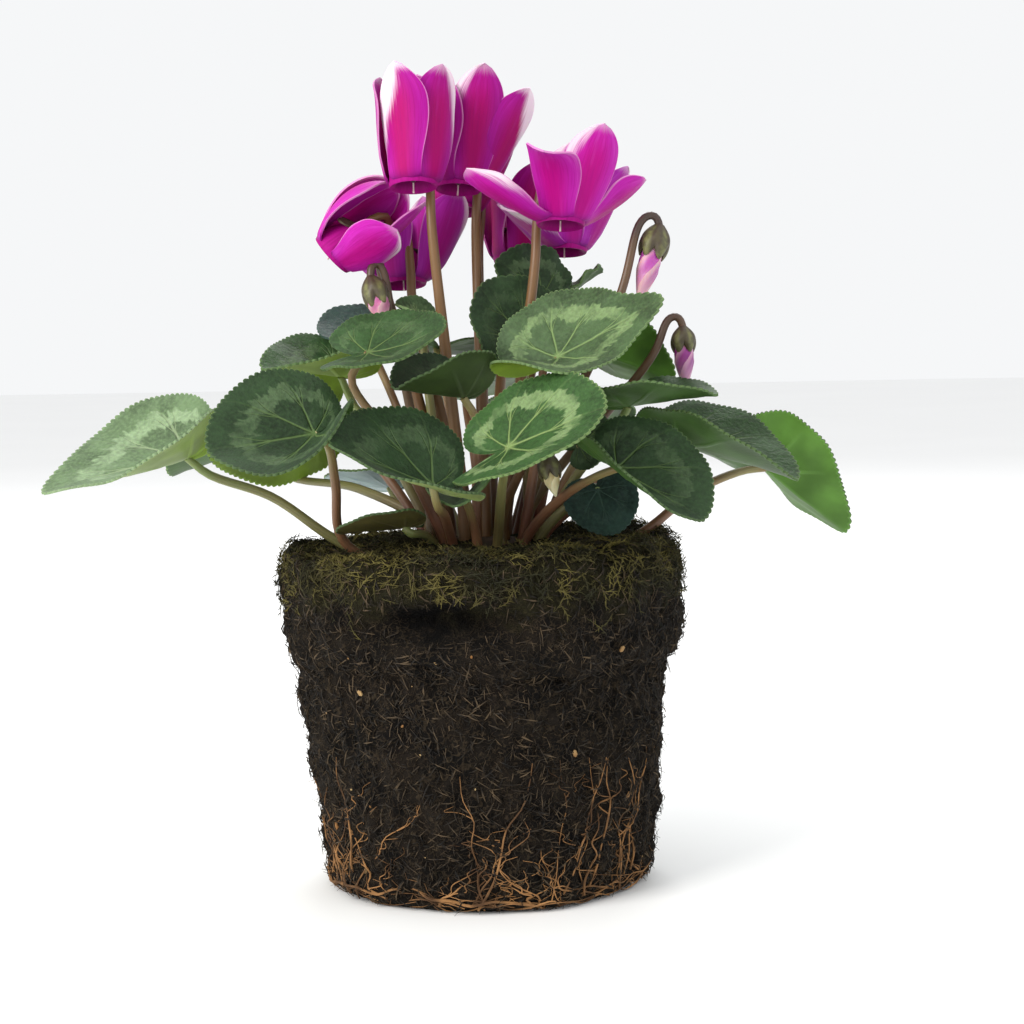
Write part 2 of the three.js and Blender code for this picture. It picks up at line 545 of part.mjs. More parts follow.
// A closed body turned round its axis. Each ring gives the radius, height and twist of a corner.
function turnedGeometry(rings, sides) {
  const corners = [];
  for (const ring of rings) {
    for (let k = 0; k < sides; k++) {
      const [radius, height, turn] = ring(k);
      const angle = turn + (2 * Math.PI * k) / sides;
      corners.push(new THREE.Vector3(radius * Math.cos(angle), radius * Math.sin(angle), height));
    }
  }
  const faces = [];
  for (let i = 0; i < rings.length - 1; i++) {
    for (let k = 0; k < sides; k++) {
      const [a, b] = [i * sides + k, i * sides + ((k + 1) % sides)];
      faces.push(a, b, b + sides, a, b + sides, a + sides);
    }
  }
  const last = (rings.length - 1) * sides;
  for (let k = 1; k < sides - 1; k++) {
    faces.push(0, k + 1, k, last, last + k, last + k + 1);
  }
  const turned = new THREE.BufferGeometry().setFromPoints(corners);
  turned.setIndex(faces);
  return turned;
}

// A cup with a pointed rim, from its bottom round the outside to its floor inside
function sepalGeometry([radius, height]) {
  const point = (k) => (k % 2 ? 0.36 : 0.6) * height;
  return turnedGeometry([
    () => [0.35 * radius, -0.5 * height, 0],
    () => [0.85 * radius, -0.25 * height, 0],
    () => [radius, 0.1 * height, 0],
    (k) => [0.95 * radius, point(k), 0],
    (k) => [0.95 * radius - sepalWall, point(k), 0],
    () => [0.9 * radius - sepalWall, 0, 0],
  ], budSides);
}

// The rolled petals: five lobes that wind round the axis down to the tip
function budPetalGeometry(bud) {
  const [radius, height] = bud.calyxSize;
  const [wide, narrow] = bud.petalSize;
  const length = vector(bud.tip).distanceTo(vector(bud.calyx));
  const inCup = Math.min(wide, 0.88 * radius - sepalWall - gap);
  const ring = (share, size) => (k) => {
    const lobe = k % 2 ? 0.94 : 1.06;
    return [size * lobe, THREE.MathUtils.lerp(gap, length, share), degrees(110) * share];
  };
  const rimShare = (0.6 * height) / length;
  return turnedGeometry([
    () => [inCup, gap, 0],
    () => [inCup, 0.66 * height, degrees(20)],
    ring(rimShare + 0.3 * (1 - rimShare), wide),
    ring(rimShare + 0.7 * (1 - rimShare), THREE.MathUtils.lerp(wide, narrow, 0.55)),
    ring(1, 0.5 * narrow),
  ], budSides);
}

function budStalkCurve(bud) {
  const top = new THREE.Vector3(0, 0, -0.46 * bud.calyxSize[1]).applyMatrix4(budFrame(bud));
  const socket = new THREE.Vector3(bud.foot[0], bud.foot[1], tuberMiddle + 6);
  const foot = new THREE.Vector3(bud.foot[0], bud.foot[1], ballHeight + 6);
  return smoothCurve([socket, foot, vector(bud.pass), vector(bud.hook), top]);
}

const budStalkRadius = { foot: 1.3, tip: 0.9 };
const budStalks = buds.map(budStalkCurve);

buds.forEach((bud, i) => {
  const frame = budFrame(bud);
  const stalk = solidOf(stalkGeometry(budStalks[i], budStalkRadius, flowerStalkSides, flowerStalkSteps));
  const sepals = solidOf(sepalGeometry(bud.calyxSize).applyMatrix4(frame));
  const petals = budPetalGeometry(bud).applyMatrix4(frame);
  addMesh(`bud_${i + 1}_stalk`, geometryOf(joined([stalk, sepals])), 0x5f5230, 0.5);
  addMesh(`bud_${i + 1}_petals`, petals, 0xc85aa8, 0.5);
});

// The tuber just under the surface, with the leaf stalks that grow out of it

const tuber = new THREE.SphereGeometry(tuberRadius, 14, 7).rotateX(Math.PI / 2);
tuber.scale(1, 1, tuberHalfHeight / tuberRadius).translate(0, 0, tuberMiddle);
const tuberRoom = tuber.clone();
tuberRoom.translate(0, 0, -tuberMiddle);
tuberRoom.scale(1.02, 1.02, 1.04).translate(0, 0, tuberMiddle);

const leafCurves = leaves.map(leafStalkCurve);
const leafStalks = leafCurves.map((curve) => (
  solidOf(stalkGeometry(curve, leafStalkRadius, leafStalkSides, leafStalkSteps))
));
const sockets = [
  ...flowerStalks.map((curve) => [curve, flowerStalkRadius]),
  ...budStalks.map((curve) => [curve, budStalkRadius]),
].map(([curve, radius]) => solidOf(stalkGeometry(curve, radius, flowerStalkSides, flowerStalkSteps, gap)));
const crown = joined([solidOf(tuber), ...leafStalks]).subtract(joined(sockets));
addMesh('tuber_with_leaf_stalks', geometryOf(crown), 0x7c6a3e, 0.6);

// The ball, with room for the tuber, an open crown hole and plain holes for the outer stalks

const crownHole = new THREE.CylinderGeometry(crownHoleRadius, crownHoleRadius, 12, 16);
crownHole.rotateX(Math.PI / 2).translate(0, 0, ballHeight);
const outerStalks = leafCurves.filter((curve, i) => Math.hypot(...leaves[i].foot) > crownHoleRadius - 3)
  .map((curve) => solidOf(stalkGeometry(curve, leafStalkRadius, leafStalkSides, leafStalkSteps, gap)));
const rooms = joined([solidOf(tuberRoom), solidOf(crownHole), ...outerStalks]);
addMesh('root_ball', geometryOf(solidOf(ballGeometry()).subtract(rooms)), 0x2a2119, 0.95);

// The root mat: a root that circles the bottom edge, and others that climb the side of the ball

const rootThickness = { foot: 1, tip: 0.6 };
const circlingHeight = 3.4;
const circlingWave = 1.2;
const circlingStep = 15;
const rootClearance = 1.1;
const climbingRoots = [
  { turn: 20, height: 34, lean: 16 }, { turn: 68, height: 24, lean: -12 },
  { turn: 120, height: 38, lean: 12 }, { turn: 170, height: 28, lean: -14 },
  { turn: 210, height: 20, lean: 12 }, { turn: 244, height: 32, lean: 14 },
  { turn: 290, height: 42, lean: 12 }, { turn: 320, height: 24, lean: 16 },
];

function onBall(turn, height) {
  const radius = ballRadiusAt(degrees(turn), height) + rootThickness.foot + rootClearance;
  return new THREE.Vector3(radius * Math.cos(degrees(turn)), radius * Math.sin(degrees(turn)), height);
}

const circling = [];
for (let turn = 0; turn < 360; turn += circlingStep) {
  circling.push(onBall(turn, circlingHeight + circlingWave * Math.sin(degrees(3 * turn))));
}
const rootSolids = climbingRoots.map(({ turn, height, lean }) => {
  const path = [0, 0.25, 0.5, 0.75, 1].map((share) => {
    const rise = THREE.MathUtils.lerp(circlingHeight - circlingWave, height, share);
    return onBall(turn + lean * (share + 0.25 * Math.sin(6 * share)), rise);
  });
  return solidOf(stalkGeometry(smoothCurve(path), rootThickness, 4, 5));
});
rootSolids.push(solidOf(stalkGeometry(smoothCurve(circling), { foot: 1, tip: 1 }, 4, 24)));
addMesh('roots', geometryOf(joined(rootSolids)), 0xb48a55, 0.8);

export default group;
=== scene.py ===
import math
import random

import bpy
from mathutils import Matrix, Vector, noise


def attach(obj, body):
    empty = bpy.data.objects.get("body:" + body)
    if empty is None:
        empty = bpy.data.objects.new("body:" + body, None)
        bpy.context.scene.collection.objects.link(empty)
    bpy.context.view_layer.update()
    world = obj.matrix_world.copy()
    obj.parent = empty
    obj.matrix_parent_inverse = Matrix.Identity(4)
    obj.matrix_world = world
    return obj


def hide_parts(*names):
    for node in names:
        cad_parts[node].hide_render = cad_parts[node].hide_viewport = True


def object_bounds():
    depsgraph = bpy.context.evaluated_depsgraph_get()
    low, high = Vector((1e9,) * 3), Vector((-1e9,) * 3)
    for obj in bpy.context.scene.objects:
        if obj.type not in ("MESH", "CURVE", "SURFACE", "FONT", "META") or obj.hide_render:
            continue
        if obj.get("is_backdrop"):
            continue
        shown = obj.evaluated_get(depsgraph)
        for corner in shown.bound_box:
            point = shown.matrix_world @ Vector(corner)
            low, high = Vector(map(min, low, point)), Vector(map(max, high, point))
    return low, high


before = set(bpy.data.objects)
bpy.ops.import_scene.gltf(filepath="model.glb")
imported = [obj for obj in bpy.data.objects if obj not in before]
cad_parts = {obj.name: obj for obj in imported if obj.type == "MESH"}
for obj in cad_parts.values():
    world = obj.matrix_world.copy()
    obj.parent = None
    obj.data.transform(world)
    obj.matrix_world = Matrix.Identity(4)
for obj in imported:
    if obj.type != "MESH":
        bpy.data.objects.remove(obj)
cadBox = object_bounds()
mm = 0.001
up = Vector((0, 0, 1))
print("frame loaded:", len(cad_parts), "nodes")


# Camera, light and floor

view = {
    "place": (7.5, -620, 146),  # mm
    "down": 5.13,  # degrees
    "roll": 1.0,
    "lens": 89.6,
}
studio = {
    "sky": (0.98, 0.99, 1.0),
    "skyStrength": 0.94,
    "floor": (0.93, 0.93, 0.925),
    "lookAt": (0, 0, 0.1),  # metres
    # place in metres, size, power in watts and colour of each softbox
    "softboxes": [
        ((-0.7, -0.65, 0.6), 0.6, 11, (1.0, 0.97, 0.93)),
        ((0.85, -0.45, 0.45), 0.7, 1.5, (0.92, 0.96, 1.0)),
        ((0.1, 0.8, 0.8), 0.6, 5, (1.0, 1.0, 1.0)),
    ],
}


def setUpStudio():
    cameraData = bpy.data.cameras.new("camera")
    cameraData.lens = view["lens"]
    cameraData.clip_start = 0.01
    camera = bpy.data.objects.new("camera", cameraData)
    camera.location = Vector(view["place"]) * mm
    camera.rotation_euler = (
        Matrix.Rotation(math.radians(90 - view["down"]), 4, "X")
        @ Matrix.Rotation(math.radians(-view["roll"]), 4, "Z")
    ).to_euler()
    bpy.context.scene.collection.objects.link(camera)
    bpy.context.scene.camera = camera

    for number, (place, size, power, colour) in enumerate(studio["softboxes"]):
        lightData = bpy.data.lights.new(f"softbox{number + 1}", "AREA")
        lightData.size = size
        lightData.energy = power
        lightData.color = colour
        light = bpy.data.objects.new(lightData.name, lightData)
        light.location = place
        towards = Vector(studio["lookAt"]) - Vector(place)
        light.rotation_euler = towards.to_track_quat("-Z", "Y").to_euler()
        bpy.context.scene.collection.objects.link(light)

    world = bpy.data.worlds.new("sky")
    world.use_nodes = True
    sky = world.node_tree.nodes["Background"]
    sky.inputs["Color"].default_value = (*studio["sky"], 1)
    sky.inputs["Strength"].default_value = studio["skyStrength"]
    bpy.context.scene.world = world
    bpy.context.scene.view_settings.view_transform = "Standard"

    bpy.ops.object.select_all(action="DESELECT")
    bpy.ops.mesh.primitive_plane_add(size=6)
    floor = bpy.context.object
    floor.name = "floor"
    pale = studio["floor"]
    add, finish = newMaterial("paleFloor", 0.9)
    speckle = objectNoise(add, 8.0, 2.0)
    floor.data.materials.append(finish(mixed(add, speckle, toned(pale, 0.97), pale)))
    floor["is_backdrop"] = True


# Materials: small helpers first

def newMaterial(name, roughness, shine=0.5, glow=0.0, glowColour=(1.0, 0.2, 0.1), glowDepth=0.05):
    # gives a way to add nodes to the material, and a way to finish it
    material = bpy.data.materials.new(name)
    material.use_nodes = True
    tree = material.node_tree
    shader = tree.nodes["Principled BSDF"]
    shader.inputs["Roughness"].default_value = roughness
    shader.inputs["Specular IOR Level"].default_value = shine
    shader.inputs["Subsurface Weight"].default_value = glow
    shader.inputs["Subsurface Radius"].default_value = glowColour
    shader.inputs["Subsurface Scale"].default_value = glowDepth

    def add(kind, values=None, **settings):
        node = tree.nodes.new(kind)
        for key, value in settings.items():
            setattr(node, key, value)
        for key, value in (values or {}).items():
            if isinstance(value, bpy.types.NodeSocket):
                tree.links.new(value, node.inputs[key])
            else:
                node.inputs[key].default_value = value
        return node

    def finish(colour, relief=None, strength=0.0, depth=0.0):
        tree.links.new(colour, shader.inputs["Base Color"])
        if relief is not None:
            values = {"Height": relief, "Strength": strength, "Distance": depth}
            bump = add("ShaderNodeBump", values)
            tree.links.new(bump.outputs["Normal"], shader.inputs["Normal"])
        return material

    return add, finish


def calc(add, operation, first, second=0.0, third=0.0):
    return add("ShaderNodeMath", {0: first, 1: second, 2: third}, operation=operation).outputs[0]


def product(add, first, *others):
    for other in others:
        first = calc(add, "MULTIPLY", first, other)
    return first


def ramp(add, value, low, high, bottom=0.0, top=1.0):
    values = {"Value": value, "From Min": low, "From Max": high, "To Min": bottom, "To Max": top}
    return add("ShaderNodeMapRange", values, interpolation_type="SMOOTHSTEP").outputs["Result"]


def mixed(add, share, first, second):
    def colour(value):
        return value if isinstance(value, bpy.types.NodeSocket) else (*value, 1)
    node = add("ShaderNodeMix", {0: share, 6: colour(first), 7: colour(second)}, data_type="RGBA")
    return node.outputs[2]


def toned(colour, factor, lift=0.0):
    return [min(1, factor * part + lift) for part in colour]


def surfaceUv(add):
    uv = add("ShaderNodeUVMap", uv_map="UVMap").outputs["UV"]
    parts = add("ShaderNodeSeparateXYZ", {0: uv})
    return uv, parts.outputs["X"], parts.outputs["Y"]


def streaks(add, uv, across, along, detail=3.0, shift=0.0):
    # noise drawn out along the length of the piece
    values = {"Vector": uv, "Scale": (across, along, 1), "Location": (shift, 0, shift)}
    placed = add("ShaderNodeMapping", values).outputs["Vector"]
    values = {"Vector": placed, "Scale": 1.0, "Detail": detail}
    return add("ShaderNodeTexNoise", values).outputs["Fac"]


def objectNoise(add, scale, detail=3.0):
    place = add("ShaderNodeTexCoord").outputs["Object"]
    values = {"Vector": place, "Scale": scale, "Detail": detail}
    return add("ShaderNodeTexNoise", values).outputs["Fac"]


def fromMiddle(add, value):
    # how far each unit of the value is from its half, 0 to 0.5
    return calc(add, "ABSOLUTE", calc(add, "SUBTRACT", calc(add, "FRACT", value), 0.5))


# Modelling: small helpers

def wrapGrid(name, across, along, place, welded=False):
    # a grid whose points go to place(u, v), in mm; u and v stay as its UV map
    bpy.ops.object.select_all(action="DESELECT")
    bpy.ops.mesh.primitive_grid_add(x_subdivisions=across, y_subdivisions=along, size=1)
    piece = bpy.context.object
    piece.name = name
    piece.data.name = name
    for vertex in piece.data.vertices:
        vertex.co = place(vertex.co.x + 0.5, vertex.co.y + 0.5) * mm
    if welded:
        bpy.ops.object.mode_set(mode="EDIT")
        bpy.ops.mesh.select_all(action="SELECT")
        bpy.ops.mesh.remove_doubles(threshold=1e-6)
        bpy.ops.object.mode_set(mode="OBJECT")
    return piece


def pickOnly(piece):
    bpy.ops.object.select_all(action="DESELECT")
    piece.select_set(True)
    bpy.context.view_layer.objects.active = piece


def pointOutwards(piece):
    pickOnly(piece)
    bpy.ops.object.mode_set(mode="EDIT")
    bpy.ops.mesh.select_all(action="SELECT")
    bpy.ops.mesh.normals_make_consistent(inside=False)
    bpy.ops.object.mode_set(mode="OBJECT")


def thicken(piece, thickness, underside=0):
    # half the thickness to each side; the underside can take a later material of the piece
    modifier = piece.modifiers.new("thickness", "SOLIDIFY")
    modifier.thickness = thickness * mm
    modifier.offset = 0
    modifier.material_offset = underside
    pickOnly(piece)
    bpy.ops.object.modifier_apply(modifier=modifier.name)


def joinPieces(name, pieces):
    pickOnly(pieces[0])
    for piece in pieces:
        piece.select_set(True)
    bpy.ops.object.join()
    pieces[0].name = name
    return pieces[0]


def smoothShade(piece, degrees=60):
    pickOnly(piece)
    bpy.ops.object.shade_smooth_by_angle(angle=math.radians(degrees))


def handOver(piece, slot, *nodes):
    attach(piece, "root")
    if nodes:
        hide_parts(*nodes)


def mixBetween(first, second, share):
    return first + (second - first) * share


def polar(radius, turn, height=0):
    return Vector((radius * math.cos(turn), radius * math.sin(turn), height))


def axesAt(place, x, y, z):
    return Matrix.Translation(place) @ Matrix((x, y, z)).transposed().to_4x4()


def smoothPath(corners, steps, fineness=24):
    # a centripetal curve through the corners, read at even distances
    corners = [Vector(corner) for corner in corners]
    ends = [2 * corners[0] - corners[1], *corners, 2 * corners[-1] - corners[-2]]
    fine = []
    for a, b, c, d in zip(ends, ends[1:], ends[2:], ends[3:]):
        sides = ((a, b), (b, c), (c, d))
        before, here, after = (math.sqrt(max((q - p).length, 1e-6)) for p, q in sides)
        leave = ((b - a) / before - (c - a) / (before + here) + (c - b) / here) * here
        arrive = ((c - b) / here - (d - b) / (here + after) + (d - c) / after) * here
        bend = 3 * (c - b) - 2 * leave - arrive
        swing = 2 * (b - c) + leave + arrive
        for k in range(fineness):
            t = k / fineness
            fine.append(b + leave * t + bend * t ** 2 + swing * t ** 3)
    fine.append(corners[-1])
    lengths = [0.0]
    for first, second in zip(fine, fine[1:]):
        lengths.append(lengths[-1] + (second - first).length)
    path, at = [], 0
    for step in range(steps + 1):
        wanted = lengths[-1] * step / steps
        while at < len(fine) - 2 and lengths[at + 1] < wanted:
            at += 1
        share = (wanted - lengths[at]) / max(lengths[at + 1] - lengths[at], 1e-9)
        path.append(fine[at].lerp(fine[at + 1], min(max(share, 0), 1)))
    return path


def relaxed(path, times):
    for _ in range(times):
        corners = zip(path, path[1:], path[2:])
        eased = [(before + 2 * here + after) / 4 for before, here, after in corners]
        path = [path[0], *eased, path[-1]]
    return path


def pathFrames(path):
    # two directions square to the path at each of its points, carried along without twist
    frames = []
    side = None
    for i in range(len(path)):
        forward = (path[min(i + 1, len(path) - 1)] - path[max(i - 1, 0)]).normalized()
        if side is None:
            side = forward.orthogonal()
        side = (side - forward * side.dot(forward)).normalized()
        frames.append((side, forward.cross(side)))
    return frames


def tubeAlong(name, path, radiusAt, sides):
    # a closed tube whose two ends run to a point
    frames = pathFrames(path)
    last = len(path) - 1

    def place(u, v):
        row = round(v * (last + 2))
        i = min(max(row - 1, 0), last)
        radius = 0 if row in (0, last + 2) else radiusAt(i / last)
        side, other = frames[i]
        turn = -math.tau * u
        return path[i] + side * radius * math.cos(turn) + other * radius * math.sin(turn)

    return wrapGrid(name, sides, last + 2, place, welded=True)


def scatterCopies(name, patterns, places):
    # one mesh out of many small copies; each place names its pattern and where the copy goes
    shapes = []
    for pattern in patterns:
        shape = [corner.co.copy() for corner in pattern.data.vertices]
        shapes.append((shape, [list(face.vertices) for face in pattern.data.polygons]))
    corners, faces = [], []
    for which, matrix in places:
        shape, sides = shapes[which]
        first = len(corners)
        for corner in shape:
            place = matrix @ corner
            place.z = max(place.z, 0)
            corners.append(place)
        faces.extend([first + k for k in side] for side in sides)
    mesh = bpy.data.meshes.new(name)
    mesh.from_pydata(corners, [], faces)
    piece = bpy.data.objects.new(name, mesh)
    bpy.context.scene.collection.objects.link(piece)
    for pattern in patterns:
        bpy.data.objects.remove(pattern)
    return piece


# The root ball: peat that kept the shape of the pot

ball = {
    "height": 83,
    "bottom": 39.5,
    "underCollar": 44.2,
    "collar": 48.4,
    "collarFoot": 56,
    "across": 300,
    "along": 180,
    "crumbs": [(0.09, 0.9), (0.24, 1.1), (0.6, 0.9), (1.3, 0.5)],  # per mm, height in mm
    "tear": {"turn": 260, "height": 69, "wide": 0.38, "high": 3.8, "deep": 9},
    "ledge": {"height": 62, "wide": 0.7, "high": 2, "out": 2.2},
    "pits": (0.28, 0.22, 1.6),  # per mm, from which level, depth
}
# radius and height up the side and over the top
ballProfile = [
    (0, 0), (ball["bottom"] - 4, 0), (ball["bottom"] - 0.9, 1.6), (ball["bottom"] + 0.4, 6),
    (ball["bottom"] + 2, 22), (ball["bottom"] + 3.6, 38),
    (ball["underCollar"], ball["collarFoot"] - 3),
    (ball["underCollar"] + 0.2, ball["collarFoot"] - 0.6),
    (ball["collar"] - 1.6, ball["collarFoot"] + 1.2),
    (ball["collar"] - 0.4, ball["collarFoot"] + 8), (ball["collar"], ball["height"] - 8),
    (ball["collar"] - 0.7, ball["height"] - 2), (ball["collar"] - 4.5, ball["height"] - 0.3),
    (30, ball["height"]), (14, ball["height"] + 0.6), (0, ball["height"] + 0.8),
]


def profileAt(share):
    # radius, height and outward slope of the ball's profile
    edges = list(zip(ballProfile, ballProfile[1:]))
    wanted = share * sum(math.dist(a, b) for a, b in edges)
    for a, b in edges:
        length = math.dist(a, b)
        if wanted <= length or b == ballProfile[-1]:
            part = min(wanted / length, 1)
            slope = ((b[1] - a[1]) / length, (a[0] - b[0]) / length)
            return mixBetween(a[0], b[0], part), mixBetween(a[1], b[1], part), slope
        wanted -= length


profileSteps = [profileAt(step / 1000) for step in range(1001)]


def fromTear(turn):
    return math.remainder(turn - math.radians(ball["tear"]["turn"]), math.tau)


def tornAway(turn, height):
    # 1 in the middle of the hollow in the front, 0 away from it
    tear = ball["tear"]
    rise = (height - tear["height"]) / tear["high"]
    return math.exp(-(fromTear(turn) / tear["wide"]) ** 4 - rise ** 2)


def ballLump(turn, height):
    broad = math.sin(3 * turn + 0.08 * height) + math.sin(5 * turn - 0.11 * height + 2)
    fine = math.sin(11 * turn + 0.31 * height + 1)
    ledge = ball["ledge"]
    rise = (height - ledge["height"]) / ledge["high"]
    shelf = ledge["out"] * math.exp(-rise ** 2 - (fromTear(turn) / ledge["wide"]) ** 2)
    return 0.55 * broad + 0.45 * fine + shelf - ball["tear"]["deep"] * tornAway(turn, height)


def peatPoint(turn, share):
    radius, height, (outward, upward) = profileSteps[round(share * 1000)]
    onTop = height > ball["height"] - 1
    lump = ballLump(turn, height) * min(1, height / 6)
    base = polar(radius, turn, height)
    crumbs = sum(size * noise.noise(base * often) for often, size in ball["crumbs"])
    often, level, deep = ball["pits"]
    pits = deep * max(0, noise.noise(base * often + Vector((30, 0, 0))) - level)
    swell = crumbs - pits + (0.6 if onTop else 1.0) * lump
    if onTop:
        swell += 0.05 * base.x * radius / ball["collar"]
    swell *= min(1, radius / 6) * min(1, max(height, 0) / 2.5)
    slope = polar(outward, turn, upward)
    place = base + slope * swell
    place.z = max(place.z, 0)
    return place, slope


def thinLines(add, scale, width):
    # the middle level of a noise runs in fine curved lines, like matted fibres
    level = calc(add, "ABSOLUTE", calc(add, "SUBTRACT", objectNoise(add, scale, 1.0), 0.5))
    return ramp(add, level, 0.25 * width, width, 1.0, 0.0)


def peatMaterial():
    add, finish = newMaterial("peat", 0.95, 0.15)
    coarse = objectNoise(add, 120.0, 6.0)
    fine = objectNoise(add, 900.0, 8.0)
    clods = ramp(add, coarse, 0.38, 0.66)
    brown = mixed(add, clods, (0.0018, 0.0014, 0.001), (0.0105, 0.0076, 0.005))
    matted = calc(add, "MAXIMUM", thinLines(add, 210.0, 0.02), thinLines(add, 330.0, 0.028))
    matted = product(add, calc(add, "MAXIMUM", matted, thinLines(add, 520.0, 0.035)), fine)
    strewn = mixed(add, matted, brown, (0.05, 0.036, 0.021))
    flecked = mixed(add, ramp(add, fine, 0.58, 0.72), strewn, (0.034, 0.024, 0.015))
    # olive where the moss grows on it
    place = add("ShaderNodeTexCoord").outputs["Object"]
    rise = add("ShaderNodeSeparateXYZ", {0: place}).outputs["Z"]
    mossy = ramp(add, calc(add, "MULTIPLY_ADD", coarse, 0.03, rise), 0.083, 0.092, 0.0, 0.75)
    olive = mixed(add, fine, (0.006, 0.006, 0.002), (0.034, 0.031, 0.01))
    # painted shade: black inside the torn hollow, where shadow falls deep in the recess
    tear = ball["tear"]
    middle = polar(ball["collar"], math.radians(tear["turn"]), tear["height"]) * mm
    spread = (1 / (0.8 * ball["collar"] * tear["wide"] * mm), 60, 1 / (1.3 * tear["high"] * mm))
    away = add("ShaderNodeVectorMath", {0: place, 1: middle}, operation="SUBTRACT").outputs[0]
    scaled = add("ShaderNodeVectorMath", {0: away, 1: spread}, operation="MULTIPLY").outputs[0]
    distance = add("ShaderNodeVectorMath", {0: scaled}, operation="LENGTH").outputs["Value"]
    hollow = ramp(add, calc(add, "MULTIPLY_ADD", coarse, 1.3, distance), 1.25, 1.6, 0.95, 0.0)
    colour = mixed(add, hollow, mixed(add, mossy, flecked, olive), (0.0008, 0.0006, 0.0004))
    grain = calc(add, "MULTIPLY_ADD", objectNoise(add, 350.0, 5.0), 1.5, fine)
    return finish(colour, calc(add, "ADD", grain, matted), 1.0, 0.0012)


def fibreMaterial(name, dark, light, scale):
    add, finish = newMaterial(name, 0.8, 0.3)
    colour = mixed(add, ramp(add, objectNoise(add, scale, 4.0), 0.35, 0.66), dark, light)
    return finish(colour, objectNoise(add, 2500.0, 2.0), 0.3, 0.0002)


def makeBall():
    def place(u, v):
        return peatPoint(-math.tau * u, v)[0]

    peat = wrapGrid("rootBall", ball["across"], ball["along"], place, welded=True)
    pointOutwards(peat)
    peat.data.materials.append(peatMaterial())
    smoothShade(peat, 45)
    handOver(peat, "peat", "root_ball")
    print("root ball:", len(peat.data.polygons), "faces")


# Fibres, moss and flecks on the ball

litter = {
    "fibres": 6600,
    "fibreShares": (0.23, 0.85),  # along the ball's profile
    "fibreColours": ((0.003, 0.0024, 0.0017), (0.022, 0.016, 0.009)),
    "coirColours": ((0.006, 0.0045, 0.003), (0.08, 0.054, 0.028)),
    "moss": 2250,
    "mossShares": (0.55, 0.95),
    "mossHang": (15, 11),  # mm down the side, and how uneven
    "mossColours": ((0.016, 0.016, 0.005), (0.12, 0.1, 0.024)),
    "sprigs": [(5.5, 4), (7.5, 5), (4, 4)],  # length and leaflets
    "leaflet": (1.2, 0.75, 0.65),
    "flecks": 40,
    "fleckShares": (0.25, 0.7),
    "fleckColours": ((0.2, 0.09, 0.025), (0.42, 0.3, 0.14)),
}


def curvedStrand(name, length, bend, thickness):
    # three corners along X, the middle one raised, three-sided because there are thousands
    path = []
    for t in (-0.5, 0.0, 0.5):
        aside, rise = 0.25 * bend * math.sin(5 * t), bend * (0.25 - t * t) * 2
        path.append(Vector((length * t, aside, rise)))
    return tubeAlong(name, path, lambda share: thickness * (1 - 0.6 * abs(2 * share - 1)), 3)


def mossSprig(length, leaflets):
    parts = [curvedStrand("sprig", length, 0.3 * length, 0.13)]
    for k in range(leaflets):
        share = (k + 1) / (leaflets + 1) - 0.5
        foot = Vector((length * share, 0, 0.44 * length * (0.25 - share * share)))
        reach = Vector(litter["leaflet"])
        reach.y *= (-1) ** k
        bpy.ops.object.select_all(action="DESELECT")
        bpy.ops.mesh.primitive_cone_add(
            vertices=3, radius1=0.17 * mm, depth=reach.length * mm,
            location=(foot + 0.5 * reach) * mm, rotation=reach.to_track_quat("Z", "Y").to_euler(),
        )
        parts.append(bpy.context.object)
    return joinPieces("sprig", parts)


def lieOn(turn, share, heading, tilt, size, lift):
    # the matrix that lays a copy on the peat, turned to its heading and tilted out of the surface
    place, slope = peatPoint(turn, share)
    normal = slope.normalized()
    along = Vector((-math.sin(turn), math.cos(turn), 0))
    flat = axesAt((place + normal * lift) * mm, along, normal.cross(along), normal)
    turned = Matrix.Rotation(heading, 4, "Z") @ Matrix.Rotation(-tilt, 4, "Y")
    return flat @ turned @ Matrix.Scale(size, 4)


def layFibres(name, colours, longest, draw):
    patterns = [
        curvedStrand("fibre", 0.7 * longest, 0.8, 0.13),
        curvedStrand("fibre", longest, -1.6, 0.11),
        curvedStrand("fibre", 0.5 * longest, 0.9, 0.19),
    ]
    places = []
    for _ in range(litter["fibres"]):
        turn, share = draw.uniform(0, math.tau), draw.uniform(*litter["fibreShares"])
        heading, tilt = draw.uniform(0, math.tau), draw.gauss(0.1, 0.3)
        matrix = lieOn(turn, share, heading, tilt, draw.uniform(0.5, 1.2), 0.12)
        which = draw.randrange(3)
        height = profileSteps[round(1000 * share)][1]
        if tornAway(turn, height) < 0.35:
            places.append((which, matrix))
    fibres = scatterCopies(name, patterns, places)
    fibres.data.materials.append(fibreMaterial(name, *colours, 350.0))
    handOver(fibres, "peat")
    print(name + ":", len(places))


def layMoss(draw):
    # a mat on the top that hangs down over the edge of the collar in uneven tongues
    patterns = [mossSprig(*sprig) for sprig in litter["sprigs"]]
    hangs, uneven = litter["mossHang"]
    places = []
    while len(places) < litter["moss"]:
        turn, share = draw.uniform(0, math.tau), draw.uniform(*litter["mossShares"])
        radius, height = profileSteps[round(1000 * share)][:2]
        hang = hangs + uneven * noise.noise(polar(2.2, turn, 4))
        below = ball["height"] - height
        if below > hang * draw.uniform(0.3, 1) or radius < draw.uniform(18, 44):
            continue
        if tornAway(turn, height) > 0.15:
            continue
        heading, tilt = draw.uniform(0, math.tau), draw.uniform(0, 0.45)
        which = draw.randrange(3)
        places.append((which, lieOn(turn, share, heading, tilt, draw.uniform(0.6, 1.15), 0.2)))
    moss = scatterCopies("moss", patterns, places)
    moss.data.materials.append(fibreMaterial("mossGreen", *litter["mossColours"], 90.0))
    handOver(moss, "peat")
    print("moss sprigs:", len(places))


